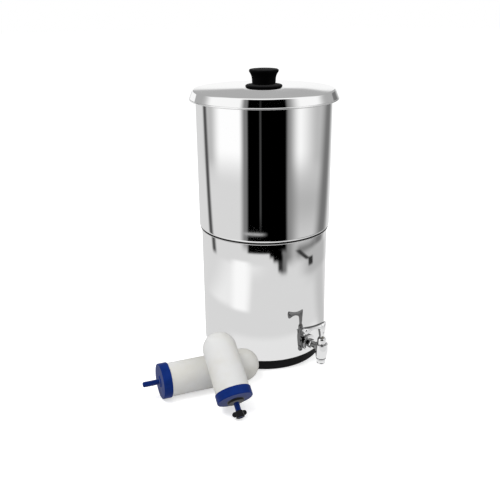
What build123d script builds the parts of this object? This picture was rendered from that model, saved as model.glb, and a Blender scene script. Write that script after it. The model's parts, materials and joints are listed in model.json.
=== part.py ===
"""Gravity water filter: two stacked steel chambers, lid, tap and two loose filter elements.

Millimetres, +Z up. The origin is the centre of the base ring's underside, and the tap
points along -Y. Bearings are measured from the tap's side (-Y) towards -X.
"""

import os
from math import asin, cos, radians, sin

from build123d import *

os.makedirs("parts", exist_ok=True)

# ---- clearances -------------------------------------------------------------------
seat_gap = 0.2  # between a loose piece and the rim that it stands on
glue_gap = 0.05  # between pieces that are bonded, pressed or screwed together
running_gap = 0.06  # radial, round the tap's turning plug
touch_gap = 0.3  # between loose pieces that lean or lie against each other

# ---- base ring --------------------------------------------------------------------
base_inset = 8.0  # the ring stands this much inside the lower chamber's wall
base_h = 18.1
base_width = 18.0
base_spigot_h = 3.0
base_spigot_inset = 10.0
base_edge_r = 1.6

# ---- chambers ---------------------------------------------------------------------
sheet = 1.0  # steel thickness of both chambers and the lid
lower_r = 113.8
lower_top_z = 246.3
lower_corner_r = 8.0
floor_lift = 6.0  # the lower floor is pressed up inside its foot
rim_bead_r = 1.7

shoulder_out = 3.7  # the upper chamber's wall stands this much outside the lower one's
nest_gap = 0.6  # the upper chamber's foot inside the lower chamber
nest_depth = 24.0
nest_corner_r = 5.0
shoulder_r = 2.4
upper_top_z = 486.2

element_hole_r = 5.25
element_hole_pitch_r = 59.0
element_hole_bearing = 45.0
element_hole_count = 4

# ---- lid and knob -----------------------------------------------------------------
lid_pad_r = 36.0
lid_rise = 0.5  # from the lid's edge up to the pad under the knob
lid_overhang = 4.7  # past the upper chamber's wall
lid_flare = 5.0  # the skirt widens this much towards its bead
lid_skirt_h = 15.4
lid_corner_r = 3.0
lid_bead_r = 1.6

knob_base_r = 31.7
knob_base_foot_r = 29.8
knob_base_top_r = 29.6
knob_base_h = 7.0
knob_base_foot_h = 2.4  # up to the widest part
knob_base_rim_h = 2.6
knob_h = 25.9
knob_waist_r = 20.0
knob_top_r = 25.4
knob_neck_r = 21.3
knob_neck_h = 13.0
knob_crown_h = 1.6
knob_edge_r = 2.2
knob_spigot_r = 9.0
knob_insert_r = 5.0
knob_insert_h = 14.0
knob_screw_r = 2.0
knob_screw_head_r = 4.2
knob_screw_head_h = 2.6
knob_screw_hole_r = 2.4
knob_washer_r = 9.0
knob_washer_h = 1.2
knob_screw_bite = 10.0

# ---- tap --------------------------------------------------------------------------
tap_reach = 32.7  # from the lower chamber's wall to the spout's axis
shank_z = 44.0
shank_r = 6.2
shank_bore_r = 3.8
shank_inside = 17.0  # past the wall's inner face
wall_hole_r = 6.5
seal_r = 11.0
seal_t = 2.5
flange_r = 14.6
flange_t = 2.6
flange_dome = 1.4
collar_flats = 14.6
collar_len = 6.8
neck_r = 5.6
lock_nut_flats = 20.0
lock_nut_t = 6.0

barrel_low_z = 26.2
barrel_low_r = 9.2
barrel_r = 11.0
barrel_belly_z = 40.0
barrel_top_z = 51.4
barrel_top_r = 10.2
plug_r = 6.4
plug_low_z = 33.0
plug_top_z = 49.2
plug_bore_r = 4.0
plug_bore_top_z = 47.6
plug_port_r = 3.5
bonnet_spigot_r = 7.9
bonnet_spigot_h = 1.8
bonnet_rim_r = 11.0
bonnet_rim_h = 1.6
bonnet_r = 7.7
bonnet_cheek_h = 9.8  # the straight part of its side, above the barrel
bonnet_lip = 2.5
bonnet_top_z = 65.0
bonnet_lug = 2.6
bonnet_lug_bearing = 43.0
stem_r = 3.7
stem_groove_r = 2.5
stem_groove_z = 57.0
stem_groove_h = 1.6
o_ring_section_r = 0.6
stem_top_z = 65.6
tang = 5.2
tang_h = 16.4

nozzle_low_z = 14.4
nozzle_r = 7.5
nozzle_lip_r = 7.9
nozzle_bore_r = 5.0
nozzle_spigot_r = 6.2
nozzle_spigot_h = 3.0
nozzle_shoulder_r = 8.5
nozzle_shoulder_h = 1.4
nozzle_ring_r = 9.1
nozzle_ring_h = 1.6
nozzle_ring_edge_r = 0.7
outlet_bore_r = 4.2

lever_rest_deg = 5.0  # the closed lever lies along the wall, turned this much towards it
lever_len = 44.0
lever_hub_r = 6.1
lever_beak = 1.4  # the top runs back this much past the hub
lever_beak_w = 3.2
lever_beak_z = 87.0
lever_peak_z = 94.6
lever_saddle_out = 9.0
lever_saddle_z = 93.2
lever_back_out = 24.2
lever_back_z = 94.3
lever_throat_out = 12.3
lever_throat_z = 85.8
lever_belly_z = 89.2
lever_waist_out = 17.6
lever_waist = 8.6
lever_tip_out = 37.8
lever_tip_w = 13.0
lever_tip_top_out = 40.9
lever_tip_top_z = 97.0
lever_tip_low_out = 39.6
lever_tip_low_z = 84.8
lever_edge_r = 0.7
lever_pin_r = 1.25
lever_pin_z = 76.0
lever_pin_inset = 0.4

# ---- filter elements --------------------------------------------------------------
element_r = 28.5
element_wall = 8.0
long_len = 178.0  # cap and shell together, without the stem
short_len = 119.0
cap_wall = 1.6
cap_h = 15.0
cap_floor = 4.0
cap_edge_r = 0.9
cap_boss_r = 9.0
cap_boss_h = 1.6
pad_h = 3.4
element_stem_r = 4.75
element_stem_bore_r = 2.5
element_stem_len = 29.0
washer_r = 14.5
washer_h = 3.2
nut_hub_r = 7.2
nut_hub_top_r = 6.4
nut_h = 11.0
nut_ear_r = 4.2
nut_ear_out = 8.0
nut_ear_up = 6.6
nut_ear_t = 3.4
nut_web_h = 6.3
nut_tip_gap = 1.0  # the stem stops this much short of the wing nut's open end

long_bearing = 59.6  # where the long element's domed end lies beside the lower chamber
long_heading = 110.6  # from its domed end to its cap
cross_from_dome = 50.0  # where the short element crosses it
short_lean_deg = 40.0

# ---- blanking plugs ---------------------------------------------------------------
blank_head_r = 9.0
blank_head_h = 3.6
blank_washer_r = 9.6
blank_washer_h = 2.0
blank_shank_len = 20.0


# ---- shared helpers ---------------------------------------------------------------
def finish(builder: BuildPart, name: str) -> None:
    """Labels a finished sub-part and writes its STEP file."""
    builder.part.label = name
    export_step(builder.part, f"parts/{name}.step")


def bearing(angle: float) -> Vector:
    """Horizontal unit vector at a bearing, measured from -Y towards -X."""
    return Vector(-sin(radians(angle)), -cos(radians(angle)), 0)


def section_plane(origin: Vector, axis: Vector, across: Vector) -> Plane:
    """Plane through a turned piece's axis: local X is across it and local Y along it."""
    return Plane(origin=origin, x_dir=across, z_dir=across.cross(axis))


def axis_of(section: Plane) -> Axis:
    """The axis that a section plane's piece is turned about."""
    return Axis(section.origin, section.y_dir)


upright = Plane.XZ


# ---- base ring --------------------------------------------------------------------
base_r = lower_r - base_inset
base_spigot_r = base_r - base_spigot_inset
base_inner_r = base_r - base_width

with BuildPart() as base_ring:
    with BuildSketch(upright) as ring_section:
        with BuildLine():
            Polyline(
                (base_inner_r, 0),
                (base_r, 0),
                (base_r, base_h),
                (base_spigot_r, base_h),
                (base_spigot_r, base_h + base_spigot_h),
                (base_inner_r, base_h + base_spigot_h),
                close=True,
            )
        make_face()
        outer_corners = ring_section.vertices().group_by(Axis.X)[-1]
        fillet(outer_corners, base_edge_r)
    revolve(axis=Axis.Z)
finish(base_ring, "base_ring")


# ---- lower chamber ----------------------------------------------------------------
lower_in_r = lower_r - sheet
foot_z = base_h + sheet
lower_floor_z = foot_z + floor_lift
kick_r = base_spigot_r + seat_gap + sheet  # the step up inside the foot clears the spigot

with BuildPart() as lower_chamber:
    with BuildSketch(upright):
        with BuildLine():
            FilletPolyline(
                (0, lower_floor_z),
                (kick_r, lower_floor_z),
                (kick_r, foot_z),
                (lower_in_r, foot_z),
                (lower_in_r, lower_top_z - rim_bead_r),
                radius=[2 * sheet, 2 * sheet, lower_corner_r - sheet],
            )
            offset(amount=sheet, side=Side.RIGHT)
        make_face()
        with Locations((lower_in_r + rim_bead_r, lower_top_z - rim_bead_r)):
            Circle(rim_bead_r)
    revolve(axis=Axis.Z)
    with BuildSketch(upright.offset(lower_in_r - shank_inside)):
        with Locations((0, shank_z)):
            Circle(wall_hole_r)
    extrude(amount=shank_inside + tap_reach, mode=Mode.SUBTRACT)
finish(lower_chamber, "lower_chamber")


# ---- upper chamber ----------------------------------------------------------------
upper_r = lower_r + shoulder_out
upper_in_r = upper_r - sheet
nest_r = lower_in_r - nest_gap
shoulder_z = lower_top_z + seat_gap  # underside of the shoulder that stands on the lower rim
nest_low_z = shoulder_z - nest_depth
upper_floor_z = nest_low_z + sheet

with BuildPart() as upper_chamber:
    with BuildSketch(upright):
        with BuildLine():
            FilletPolyline(
                (0, upper_floor_z),
                (nest_r - sheet, upper_floor_z),
                (nest_r - sheet, shoulder_z + sheet),
                (upper_in_r, shoulder_z + sheet),
                (upper_in_r, upper_top_z - rim_bead_r),
                radius=[nest_corner_r - sheet, sheet, shoulder_r - sheet],
            )
            offset(amount=sheet, side=Side.RIGHT)
        make_face()
        with Locations((upper_in_r + rim_bead_r, upper_top_z - rim_bead_r)):
            Circle(rim_bead_r)
    revolve(axis=Axis.Z)
    with BuildSketch(Plane.XY.offset(nest_low_z - sheet)):
        with PolarLocations(element_hole_pitch_r, element_hole_count, element_hole_bearing):
            Circle(element_hole_r)
    extrude(amount=3 * sheet, mode=Mode.SUBTRACT)
finish(upper_chamber, "upper_chamber")


# ---- wing nuts, which also serve the blanking plugs --------------------------------
def wing_nut(section: Plane) -> Part:
    """One wing nut: its open end at the section's origin, its body along the axis."""
    with BuildPart() as nut:
        with BuildSketch(section):
            for side in (-1, 1):
                with Locations((side * nut_ear_out, nut_ear_up)):
                    Circle(nut_ear_r)
                with Locations((side * nut_ear_out / 2, nut_ear_up)):
                    Rectangle(nut_ear_out, nut_web_h)
        extrude(amount=nut_ear_t / 2, both=True)
        with BuildSketch(section):
            with BuildLine():
                Polyline((0, 0), (nut_hub_r, 0), (nut_hub_top_r, nut_h), (0, nut_h), close=True)
            make_face()
        revolve(axis=axis_of(section))
        with BuildSketch(Plane(origin=section.origin, z_dir=section.y_dir)):
            Circle(element_stem_r + glue_gap)
        extrude(amount=nut_h, mode=Mode.SUBTRACT)
    return nut.part


# ---- blanking plugs in the spare holes --------------------------------------------
blank_spots = [bearing(element_hole_bearing + turn) * element_hole_pitch_r for turn in (0, 180)]
blank_sections = [
    section_plane(spot + Vector(0, 0, upper_floor_z), Vector(0, 0, 1), Vector(1, 0, 0))
    for spot in blank_spots
]

with BuildPart() as blanking_plugs:
    for section in blank_sections:
        with BuildSketch(section):
            with BuildLine():
                Polyline(
                    (0, blank_washer_h),
                    (blank_head_r, blank_washer_h),
                    (blank_head_r, blank_washer_h + blank_head_h / 2),
                    (blank_head_r - blank_head_h / 2, blank_washer_h + blank_head_h),
                    (0, blank_washer_h + blank_head_h),
                    close=True,
                )
            make_face()
            with BuildLine():
                Polyline(
                    (0, blank_washer_h),
                    (element_stem_r, blank_washer_h),
                    (element_stem_r, -blank_shank_len),
                    (0, -blank_shank_len),
                    close=True,
                )
            make_face()
        revolve(axis=axis_of(section))
finish(blanking_plugs, "blanking_plugs")

with BuildPart() as plug_washers:
    with BuildSketch(Plane.XY.offset(upper_floor_z)):
        with Locations(*blank_spots):
            Circle(blank_washer_r)
            Circle(element_stem_r + glue_gap, mode=Mode.SUBTRACT)
    extrude(amount=blank_washer_h)
finish(plug_washers, "plug_washers")

blank_nuts = [
    wing_nut(
        section_plane(spot + Vector(0, 0, nest_low_z - nut_h), Vector(0, 0, 1), Vector(1, 0, 0))
    )
    for spot in blank_spots
]
with BuildPart() as plug_wing_nuts:
    add(blank_nuts)
finish(plug_wing_nuts, "plug_wing_nuts")


# ---- lid --------------------------------------------------------------------------
lid_edge_z = upper_top_z + seat_gap + sheet
lid_pad_z = lid_edge_z + lid_rise
lid_shoulder_r = upper_r + lid_overhang
lid_skirt_r = lid_shoulder_r + lid_flare

with BuildPart() as lid:
    with BuildSketch(upright):
        with BuildLine():
            FilletPolyline(
                (0, lid_pad_z),
                (lid_pad_r, lid_pad_z),
                (lid_shoulder_r, lid_edge_z),
                (lid_skirt_r, lid_edge_z - lid_skirt_h),
                radius=[4 * lid_pad_r, lid_corner_r],
            )
            offset(amount=sheet, side=Side.RIGHT)
        make_face()
        with Locations((lid_skirt_r, lid_edge_z - lid_skirt_h)):
            Circle(lid_bead_r)
    revolve(axis=Axis.Z)
    with BuildSketch(Plane.XY.offset(lid_pad_z - 2 * sheet)):
        Circle(knob_screw_hole_r)
    extrude(amount=3 * sheet, mode=Mode.SUBTRACT)
finish(lid, "lid")


# ---- knob -------------------------------------------------------------------------
knob_base_top_z = lid_pad_z + knob_base_h
knob_top_z = knob_base_top_z + knob_h

with BuildPart() as knob_base:
    with BuildSketch(upright) as knob_base_section:
        with BuildLine():
            Polyline(
                (knob_spigot_r + glue_gap, lid_pad_z),
                (knob_base_foot_r, lid_pad_z),
                (knob_base_r, lid_pad_z + knob_base_foot_h),
                (knob_base_r, lid_pad_z + knob_base_foot_h + knob_base_rim_h),
                (knob_base_top_r, knob_base_top_z - knob_edge_r / 2),
                (knob_waist_r, knob_base_top_z),
                (knob_spigot_r + glue_gap, knob_base_top_z),
                close=True,
            )
        make_face()
        rim_corners = knob_base_section.vertices().group_by(Axis.X)[-1]
        fillet(rim_corners, knob_edge_r / 2)
    revolve(axis=Axis.Z)
finish(knob_base, "knob_base")

knob_flare_z = knob_top_z - knob_crown_h - 1.5 * knob_edge_r
with BuildPart() as knob:
    with BuildSketch(upright) as knob_section:
        with BuildLine():
            Polyline(
                (0, lid_pad_z + glue_gap),
                (knob_spigot_r, lid_pad_z + glue_gap),
                (knob_spigot_r, knob_base_top_z),
                (knob_waist_r, knob_base_top_z),
            )
            Spline(
                (knob_waist_r, knob_base_top_z),
                (knob_neck_r, knob_base_top_z + knob_neck_h),
                (knob_top_r, knob_flare_z),
            )
            Line((knob_top_r, knob_flare_z), (knob_top_r, knob_top_z - knob_crown_h))
            TangentArc(
                (0, knob_top_z), (knob_top_r, knob_top_z - knob_crown_h), tangent=(1, 0)
            )
            Line((0, knob_top_z), (0, lid_pad_z + glue_gap))
        make_face()
        crown_edge = knob_section.vertices().group_by(Axis.X)[-1].sort_by(Axis.Y)[-1]
        fillet(crown_edge, knob_edge_r)
    revolve(axis=Axis.Z)
    with BuildSketch(Plane.XY.offset(lid_pad_z)):
        Circle(knob_insert_r + glue_gap)
    extrude(amount=knob_insert_h + glue_gap, mode=Mode.SUBTRACT)
finish(knob, "knob")

with BuildPart() as knob_insert:
    with BuildSketch(Plane.XY.offset(lid_pad_z + glue_gap)):
        RegularPolygon(knob_insert_r, 12)
        Circle(knob_screw_r + glue_gap, mode=Mode.SUBTRACT)
    extrude(amount=knob_insert_h - 2 * glue_gap)
finish(knob_insert, "knob_insert")

washer_top_z = lid_pad_z - sheet
with BuildPart() as knob_washer:
    with BuildSketch(Plane.XY.offset(washer_top_z - knob_washer_h)):
        Circle(knob_washer_r)
        Circle(knob_screw_hole_r, mode=Mode.SUBTRACT)
    extrude(amount=knob_washer_h)
finish(knob_washer, "knob_washer")

with BuildPart() as knob_screw:
    head_top_z = washer_top_z - knob_washer_h
    with BuildSketch(Plane.XY.offset(head_top_z - knob_screw_head_h)):
        Circle(knob_screw_head_r)
    extrude(amount=knob_screw_head_h)
    fillet(knob_screw.edges().group_by(Axis.Z)[0], knob_screw_head_h / 3)
    with BuildSketch(Plane.XY.offset(head_top_z)):
        Circle(knob_screw_r)
    extrude(amount=knob_washer_h + sheet + knob_screw_bite)
finish(knob_screw, "knob_screw")


# ---- tap: body --------------------------------------------------------------------
spout_y = lower_r + tap_reach
spout_origin = Vector(0, -spout_y, 0)
spout = section_plane(spout_origin, Vector(0, 0, 1), Vector(1, 0, 0))
spout_axis = axis_of(spout)
shank_end_y = lower_in_r - shank_inside
seal_face_y = lower_r + seal_t
flange_face_y = seal_face_y + flange_t
collar_face_y = flange_face_y + collar_len
plug_hole_r = plug_r + running_gap
bonnet_spigot_z = barrel_top_z - bonnet_spigot_h

with BuildPart() as tap_body:
    with BuildSketch(spout):
        with BuildLine():
            Polyline((0, barrel_top_z), (0, barrel_low_z), (barrel_low_r, barrel_low_z))
            Spline(
                (barrel_low_r, barrel_low_z),
                (barrel_r, barrel_belly_z),
                (barrel_top_r, barrel_top_z),
            )
            Line((barrel_top_r, barrel_top_z), (0, barrel_top_z))
        make_face()
    revolve(axis=spout_axis)
    with BuildSketch(upright.offset(collar_face_y)):
        with Locations((0, shank_z)):
            Circle(neck_r)
    extrude(amount=spout_y - collar_face_y)
    with BuildSketch(upright.offset(flange_face_y)):
        with Locations((0, shank_z)):
            RegularPolygon(collar_flats / 2, 6, major_radius=False)
    extrude(amount=collar_len)
    with BuildSketch(upright.offset(shank_end_y)):
        with Locations((0, shank_z)):
            Circle(shank_r)
    extrude(amount=flange_face_y - shank_end_y)
    with BuildSketch(upright.offset(shank_end_y)):
        with Locations((0, shank_z)):
            Circle(shank_bore_r)
    extrude(amount=spout_y - shank_end_y, mode=Mode.SUBTRACT)
    with BuildSketch(spout):
        with BuildLine():
            Polyline(
                (0, barrel_low_z),
                (nozzle_spigot_r + glue_gap, barrel_low_z),
                (nozzle_spigot_r + glue_gap, barrel_low_z + nozzle_spigot_h),
                (outlet_bore_r, barrel_low_z + nozzle_spigot_h),
                (outlet_bore_r, plug_low_z - running_gap),
                (plug_hole_r, plug_low_z - running_gap),
                (plug_hole_r, bonnet_spigot_z - glue_gap),
                (bonnet_spigot_r + glue_gap, bonnet_spigot_z - glue_gap),
                (bonnet_spigot_r + glue_gap, barrel_top_z),
                (0, barrel_top_z),
                close=True,
            )
        make_face()
    revolve(axis=spout_axis, mode=Mode.SUBTRACT)
finish(tap_body, "tap_body")


# ---- tap: what clamps it to the wall ----------------------------------------------
with BuildPart() as tap_flange:
    flange_section = section_plane(
        Vector(0, -seal_face_y, shank_z), Vector(0, -1, 0), Vector(1, 0, 0)
    )
    with BuildSketch(flange_section):
        with BuildLine():
            Polyline(
                (shank_r + glue_gap, flange_t),
                (shank_r + glue_gap, -seal_t),
                (flange_r, -seal_t),
                (flange_r, flange_t - flange_dome),
            )
            ThreePointArc(
                (flange_r, flange_t - flange_dome),
                ((flange_r + collar_flats / 2) / 2, flange_t - flange_dome / 3),
                (collar_flats / 2, flange_t),
            )
            Line((collar_flats / 2, flange_t), (shank_r + glue_gap, flange_t))
        make_face()
    revolve(axis=axis_of(flange_section))
    with BuildSketch(upright.offset(lower_in_r)):
        with Locations((0, shank_z)):
            Circle(seal_r + glue_gap)
    extrude(amount=seal_face_y - lower_in_r, mode=Mode.SUBTRACT)
    with BuildSketch(Plane.XY.offset(shank_z - 2 * flange_r)):
        Circle(lower_r + seat_gap)
    extrude(amount=4 * flange_r, mode=Mode.SUBTRACT)
finish(tap_flange, "tap_flange")

with BuildPart() as tap_seal_outer:
    with BuildSketch(upright.offset(lower_in_r)):
        with Locations((0, shank_z)):
            Circle(seal_r)
            Circle(shank_r + glue_gap, mode=Mode.SUBTRACT)
    extrude(amount=seal_face_y - lower_in_r)
    with BuildSketch(Plane.XY.offset(shank_z - 2 * seal_r)):
        Circle(lower_r + glue_gap)
    extrude(amount=4 * seal_r, mode=Mode.SUBTRACT)
finish(tap_seal_outer, "tap_seal_outer")

inner_seal_face_y = lower_in_r - seal_t
with BuildPart() as tap_seal_inner:
    with BuildSketch(upright.offset(inner_seal_face_y)):
        with Locations((0, shank_z)):
            Circle(seal_r)
            Circle(shank_r + glue_gap, mode=Mode.SUBTRACT)
    extrude(amount=2 * seal_t)
    with BuildSketch(Plane.XY.offset(shank_z - 2 * seal_r)):
        Circle(lower_in_r - glue_gap)
    extrude(amount=4 * seal_r, mode=Mode.INTERSECT)
finish(tap_seal_inner, "tap_seal_inner")

with BuildPart() as tap_lock_nut:
    with BuildSketch(upright.offset(inner_seal_face_y - lock_nut_t)):
        with Locations((0, shank_z)):
            RegularPolygon(lock_nut_flats / 2, 6, major_radius=False)
            Circle(shank_r + glue_gap, mode=Mode.SUBTRACT)
    extrude(amount=lock_nut_t)
finish(tap_lock_nut, "tap_lock_nut")


# ---- tap: bonnet, plug and stem ---------------------------------------------------
stem_hole_r = stem_r + running_gap
with BuildPart() as tap_bonnet:
    with BuildSketch(spout):
        with BuildLine():
            Polyline(
                (stem_hole_r, bonnet_top_z),
                (stem_hole_r, bonnet_spigot_z),
                (bonnet_spigot_r, bonnet_spigot_z),
                (bonnet_spigot_r, barrel_top_z),
                (bonnet_rim_r, barrel_top_z),
                (bonnet_rim_r, barrel_top_z + bonnet_rim_h),
                (bonnet_r, barrel_top_z + bonnet_rim_h),
            )
            Spline(
                (bonnet_r, barrel_top_z + bonnet_rim_h),
                (bonnet_r, barrel_top_z + bonnet_cheek_h),
                (stem_r + bonnet_lip, bonnet_top_z),
            )
            Line((stem_r + bonnet_lip, bonnet_top_z), (stem_hole_r, bonnet_top_z))
        make_face()
    revolve(axis=spout_axis)
    with BuildSketch(Plane.XY.offset(barrel_top_z)):
        lug_spot = spout_origin + bearing(bonnet_lug_bearing) * bonnet_rim_r
        with Locations(Location((lug_spot.X, lug_spot.Y, 0), (0, 0, -bonnet_lug_bearing))):
            Rectangle(bonnet_lug, 2 * bonnet_lug)
    extrude(amount=bonnet_rim_h)
finish(tap_bonnet, "tap_bonnet")

with BuildPart() as tap_plug:
    with BuildSketch(spout):
        with BuildLine():
            Polyline(
                (0, plug_bore_top_z),
                (plug_bore_r, plug_bore_top_z),
                (plug_bore_r, plug_low_z),
                (plug_r, plug_low_z),
                (plug_r, plug_top_z),
                (stem_r, plug_top_z),
                (stem_r, stem_groove_z),
                (stem_groove_r, stem_groove_z),
                (stem_groove_r, stem_groove_z + stem_groove_h),
                (stem_r, stem_groove_z + stem_groove_h),
                (stem_r, stem_top_z),
                (0, stem_top_z),
                close=True,
            )
        make_face()
    revolve(axis=spout_axis)
    with BuildSketch(Plane.YZ):
        with Locations((-spout_y, shank_z)):
            Circle(plug_port_r)
    extrude(amount=2 * plug_r, mode=Mode.SUBTRACT)
    lever_way = Vector(-cos(radians(lever_rest_deg)), sin(radians(lever_rest_deg)), 0)
    tang_plane = Plane(
        origin=spout_origin + Vector(0, 0, stem_top_z), x_dir=lever_way, z_dir=(0, 0, 1)
    )
    with BuildSketch(tang_plane):
        Rectangle(tang, tang)
    extrude(amount=tang_h)
    pin_plane = Plane(
        origin=spout_origin + Vector(0, 0, lever_pin_z),
        x_dir=lever_way,
        z_dir=lever_way.cross(Vector(0, 0, 1)),
    )
    with BuildSketch(pin_plane):
        Circle(lever_pin_r + glue_gap)
    extrude(amount=2 * plug_r, both=True, mode=Mode.SUBTRACT)
finish(tap_plug, "tap_plug")

with BuildPart() as stem_o_ring:
    ring_centre_r = stem_groove_r + glue_gap + o_ring_section_r
    with BuildSketch(spout):
        with Locations((ring_centre_r, stem_groove_z + stem_groove_h / 2)):
            Circle(o_ring_section_r)
    revolve(axis=spout_axis)
finish(stem_o_ring, "stem_o_ring")


# ---- tap: lever -------------------------------------------------------------------
lever_side = section_plane(spout_origin, Vector(0, 0, 1), lever_way)
lever_plan = Plane(origin=spout_origin, x_dir=lever_way, z_dir=(0, 0, 1))

with BuildPart() as tap_lever:
    with BuildSketch(lever_side):
        with BuildLine():
            Polyline(
                (-lever_hub_r - lever_beak, lever_peak_z),
                (-lever_hub_r, lever_beak_z),
                (-lever_hub_r, stem_top_z),
                (lever_hub_r, stem_top_z),
            )
            Spline(
                (lever_hub_r, stem_top_z),
                (lever_throat_out, lever_throat_z),
                (lever_back_out, lever_belly_z),
                (lever_tip_low_out, lever_tip_low_z),
                tangents=((0, 1), (1, -0.1)),
            )
            ThreePointArc(
                (lever_tip_low_out, lever_tip_low_z),
                (lever_len, (lever_tip_low_z + lever_tip_top_z) / 2),
                (lever_tip_top_out, lever_tip_top_z),
            )
            Spline(
                (lever_tip_top_out, lever_tip_top_z),
                (lever_back_out, lever_back_z),
                (lever_saddle_out, lever_saddle_z),
                (-lever_hub_r - lever_beak, lever_peak_z),
            )
        make_face()
    extrude(amount=lever_tip_w, both=True)
    with BuildSketch(lever_plan):
        with BuildLine() as lever_half:
            Spline(
                (-lever_hub_r - lever_beak, lever_beak_w / 2),
                (0, lever_hub_r),
                (lever_waist_out, lever_waist / 2),
                (lever_tip_out, lever_tip_w / 2),
                (lever_len + lever_beak, 0),
                tangents=((1, 1), (0, -1)),
            )
            Line((-lever_hub_r - lever_beak, lever_beak_w / 2), (-lever_hub_r - lever_beak, 0))
            mirror(about=Plane.XZ)
        make_face()
    extrude(amount=2 * lever_peak_z, mode=Mode.INTERSECT)
    fillet(tap_lever.edges().sort_by(SortBy.LENGTH)[-4:], lever_edge_r)
    with BuildSketch(tang_plane):
        Rectangle(tang + 2 * glue_gap, tang + 2 * glue_gap)
    extrude(amount=tang_h + glue_gap, mode=Mode.SUBTRACT)
    with BuildSketch(pin_plane):
        Circle(lever_pin_r + glue_gap)
    extrude(amount=2 * plug_r, both=True, mode=Mode.SUBTRACT)
finish(tap_lever, "tap_lever")

with BuildPart() as lever_pin:
    with BuildSketch(pin_plane):
        Circle(lever_pin_r)
    extrude(amount=lever_hub_r - lever_pin_inset, both=True)
finish(lever_pin, "lever_pin")


# ---- tap: nozzle ------------------------------------------------------------------
ring_low_z = barrel_low_z - nozzle_ring_h

with BuildPart() as nozzle_ring:
    with BuildSketch(Plane.XY.offset(ring_low_z)):
        with Locations((0, -spout_y)):
            Circle(nozzle_ring_r)
            Circle(nozzle_spigot_r + glue_gap, mode=Mode.SUBTRACT)
    extrude(amount=nozzle_ring_h)
    ring_edges = nozzle_ring.edges().filter_by(GeomType.CIRCLE).sort_by(SortBy.RADIUS)
    fillet(ring_edges[-2:], nozzle_ring_edge_r)
finish(nozzle_ring, "nozzle_ring")

with BuildPart() as tap_nozzle:
    with BuildSketch(spout):
        with BuildLine():
            Polyline(
                (nozzle_bore_r, barrel_low_z + nozzle_spigot_h),
                (nozzle_bore_r, nozzle_low_z),
                (nozzle_r, nozzle_low_z),
                (nozzle_lip_r, nozzle_low_z + nozzle_shoulder_h),
                (nozzle_r, nozzle_low_z + 2 * nozzle_shoulder_h),
                (nozzle_r, ring_low_z - 2 * nozzle_shoulder_h),
                (nozzle_shoulder_r, ring_low_z - nozzle_shoulder_h),
                (nozzle_shoulder_r, ring_low_z),
                (nozzle_spigot_r, ring_low_z),
                (nozzle_spigot_r, barrel_low_z + nozzle_spigot_h),
                close=True,
            )
        make_face()
    revolve(axis=spout_axis)
finish(tap_nozzle, "tap_nozzle")


# ---- filter elements --------------------------------------------------------------
cap_r = element_r + cap_wall


def make_element(section: Plane, length: float, name: str) -> None:
    """Makes one candle element: shell, filling, pad and cap.

    The section's origin is the cap's outer face on the element's axis, local Y points
    to the domed end, and the stem runs the other way.
    """
    axis = axis_of(section)
    dome_y = length - element_r
    bore_r = element_r - element_wall
    shell_y = cap_floor
    with BuildPart() as shell:
        with BuildSketch(section):
            with BuildLine():
                Polyline((0, length - element_wall), (0, length))
                RadiusArc((0, length), (element_r, dome_y), element_r)
                Polyline((element_r, dome_y), (element_r, shell_y), (bore_r, shell_y), (bore_r, dome_y))
                RadiusArc((bore_r, dome_y), (0, length - element_wall), -bore_r)
            make_face()
        revolve(axis=axis)
    finish(shell, f"{name}_element_shell")
    fill_r = bore_r - glue_gap
    fill_y = shell_y + pad_h
    with BuildPart() as filling:
        with BuildSketch(section):
            with BuildLine():
                Line((0, dome_y + fill_r), (0, fill_y))
                Polyline((0, fill_y), (fill_r, fill_y), (fill_r, dome_y))
                RadiusArc((fill_r, dome_y), (0, dome_y + fill_r), -fill_r)
            make_face()
        revolve(axis=axis)
    finish(filling, f"{name}_element_filling")
    with BuildPart() as pad:
        with BuildSketch(section):
            with BuildLine():
                Polyline((0, shell_y), (fill_r, shell_y), (fill_r, fill_y), (0, fill_y), close=True)
            make_face()
        revolve(axis=axis)
    finish(pad, f"{name}_element_pad")
    with BuildPart() as cap:
        with BuildSketch(section):
            with BuildLine():
                Polyline(
                    (element_stem_bore_r, cap_floor),
                    (element_stem_bore_r, -element_stem_len),
                    (element_stem_r, -element_stem_len),
                    (element_stem_r, -cap_boss_h),
                    (cap_boss_r, -cap_boss_h),
                    (cap_boss_r + cap_boss_h, 0),
                    (cap_r, 0),
                    (cap_r, cap_h),
                    (element_r + glue_gap, cap_h),
                    (element_r + glue_gap, cap_floor),
                    close=True,
                )
            make_face()
        revolve(axis=axis)
        outer_edges = cap.edges().filter_by(GeomType.CIRCLE).sort_by(SortBy.RADIUS)[-2:]
        fillet(outer_edges, cap_edge_r)
    finish(cap, f"{name}_element_cap")


# The long element lies on its cap's rim and its domed end, so its axis dips a little.
long_body = long_len - element_r
long_dip = asin((cap_r - element_r) / (long_body - cap_edge_r))
dome_centre = bearing(long_bearing) * (lower_r + element_r + 2 * touch_gap)
dome_centre += Vector(0, 0, element_r)
to_cap = bearing(long_heading) * cos(long_dip) + Vector(0, 0, sin(long_dip))
long_across = Vector(0, 0, 1).cross(to_cap).normalized()
long_section = section_plane(dome_centre + to_cap * long_body, to_cap * -1, long_across)
make_element(long_section, long_len, "long")

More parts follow.
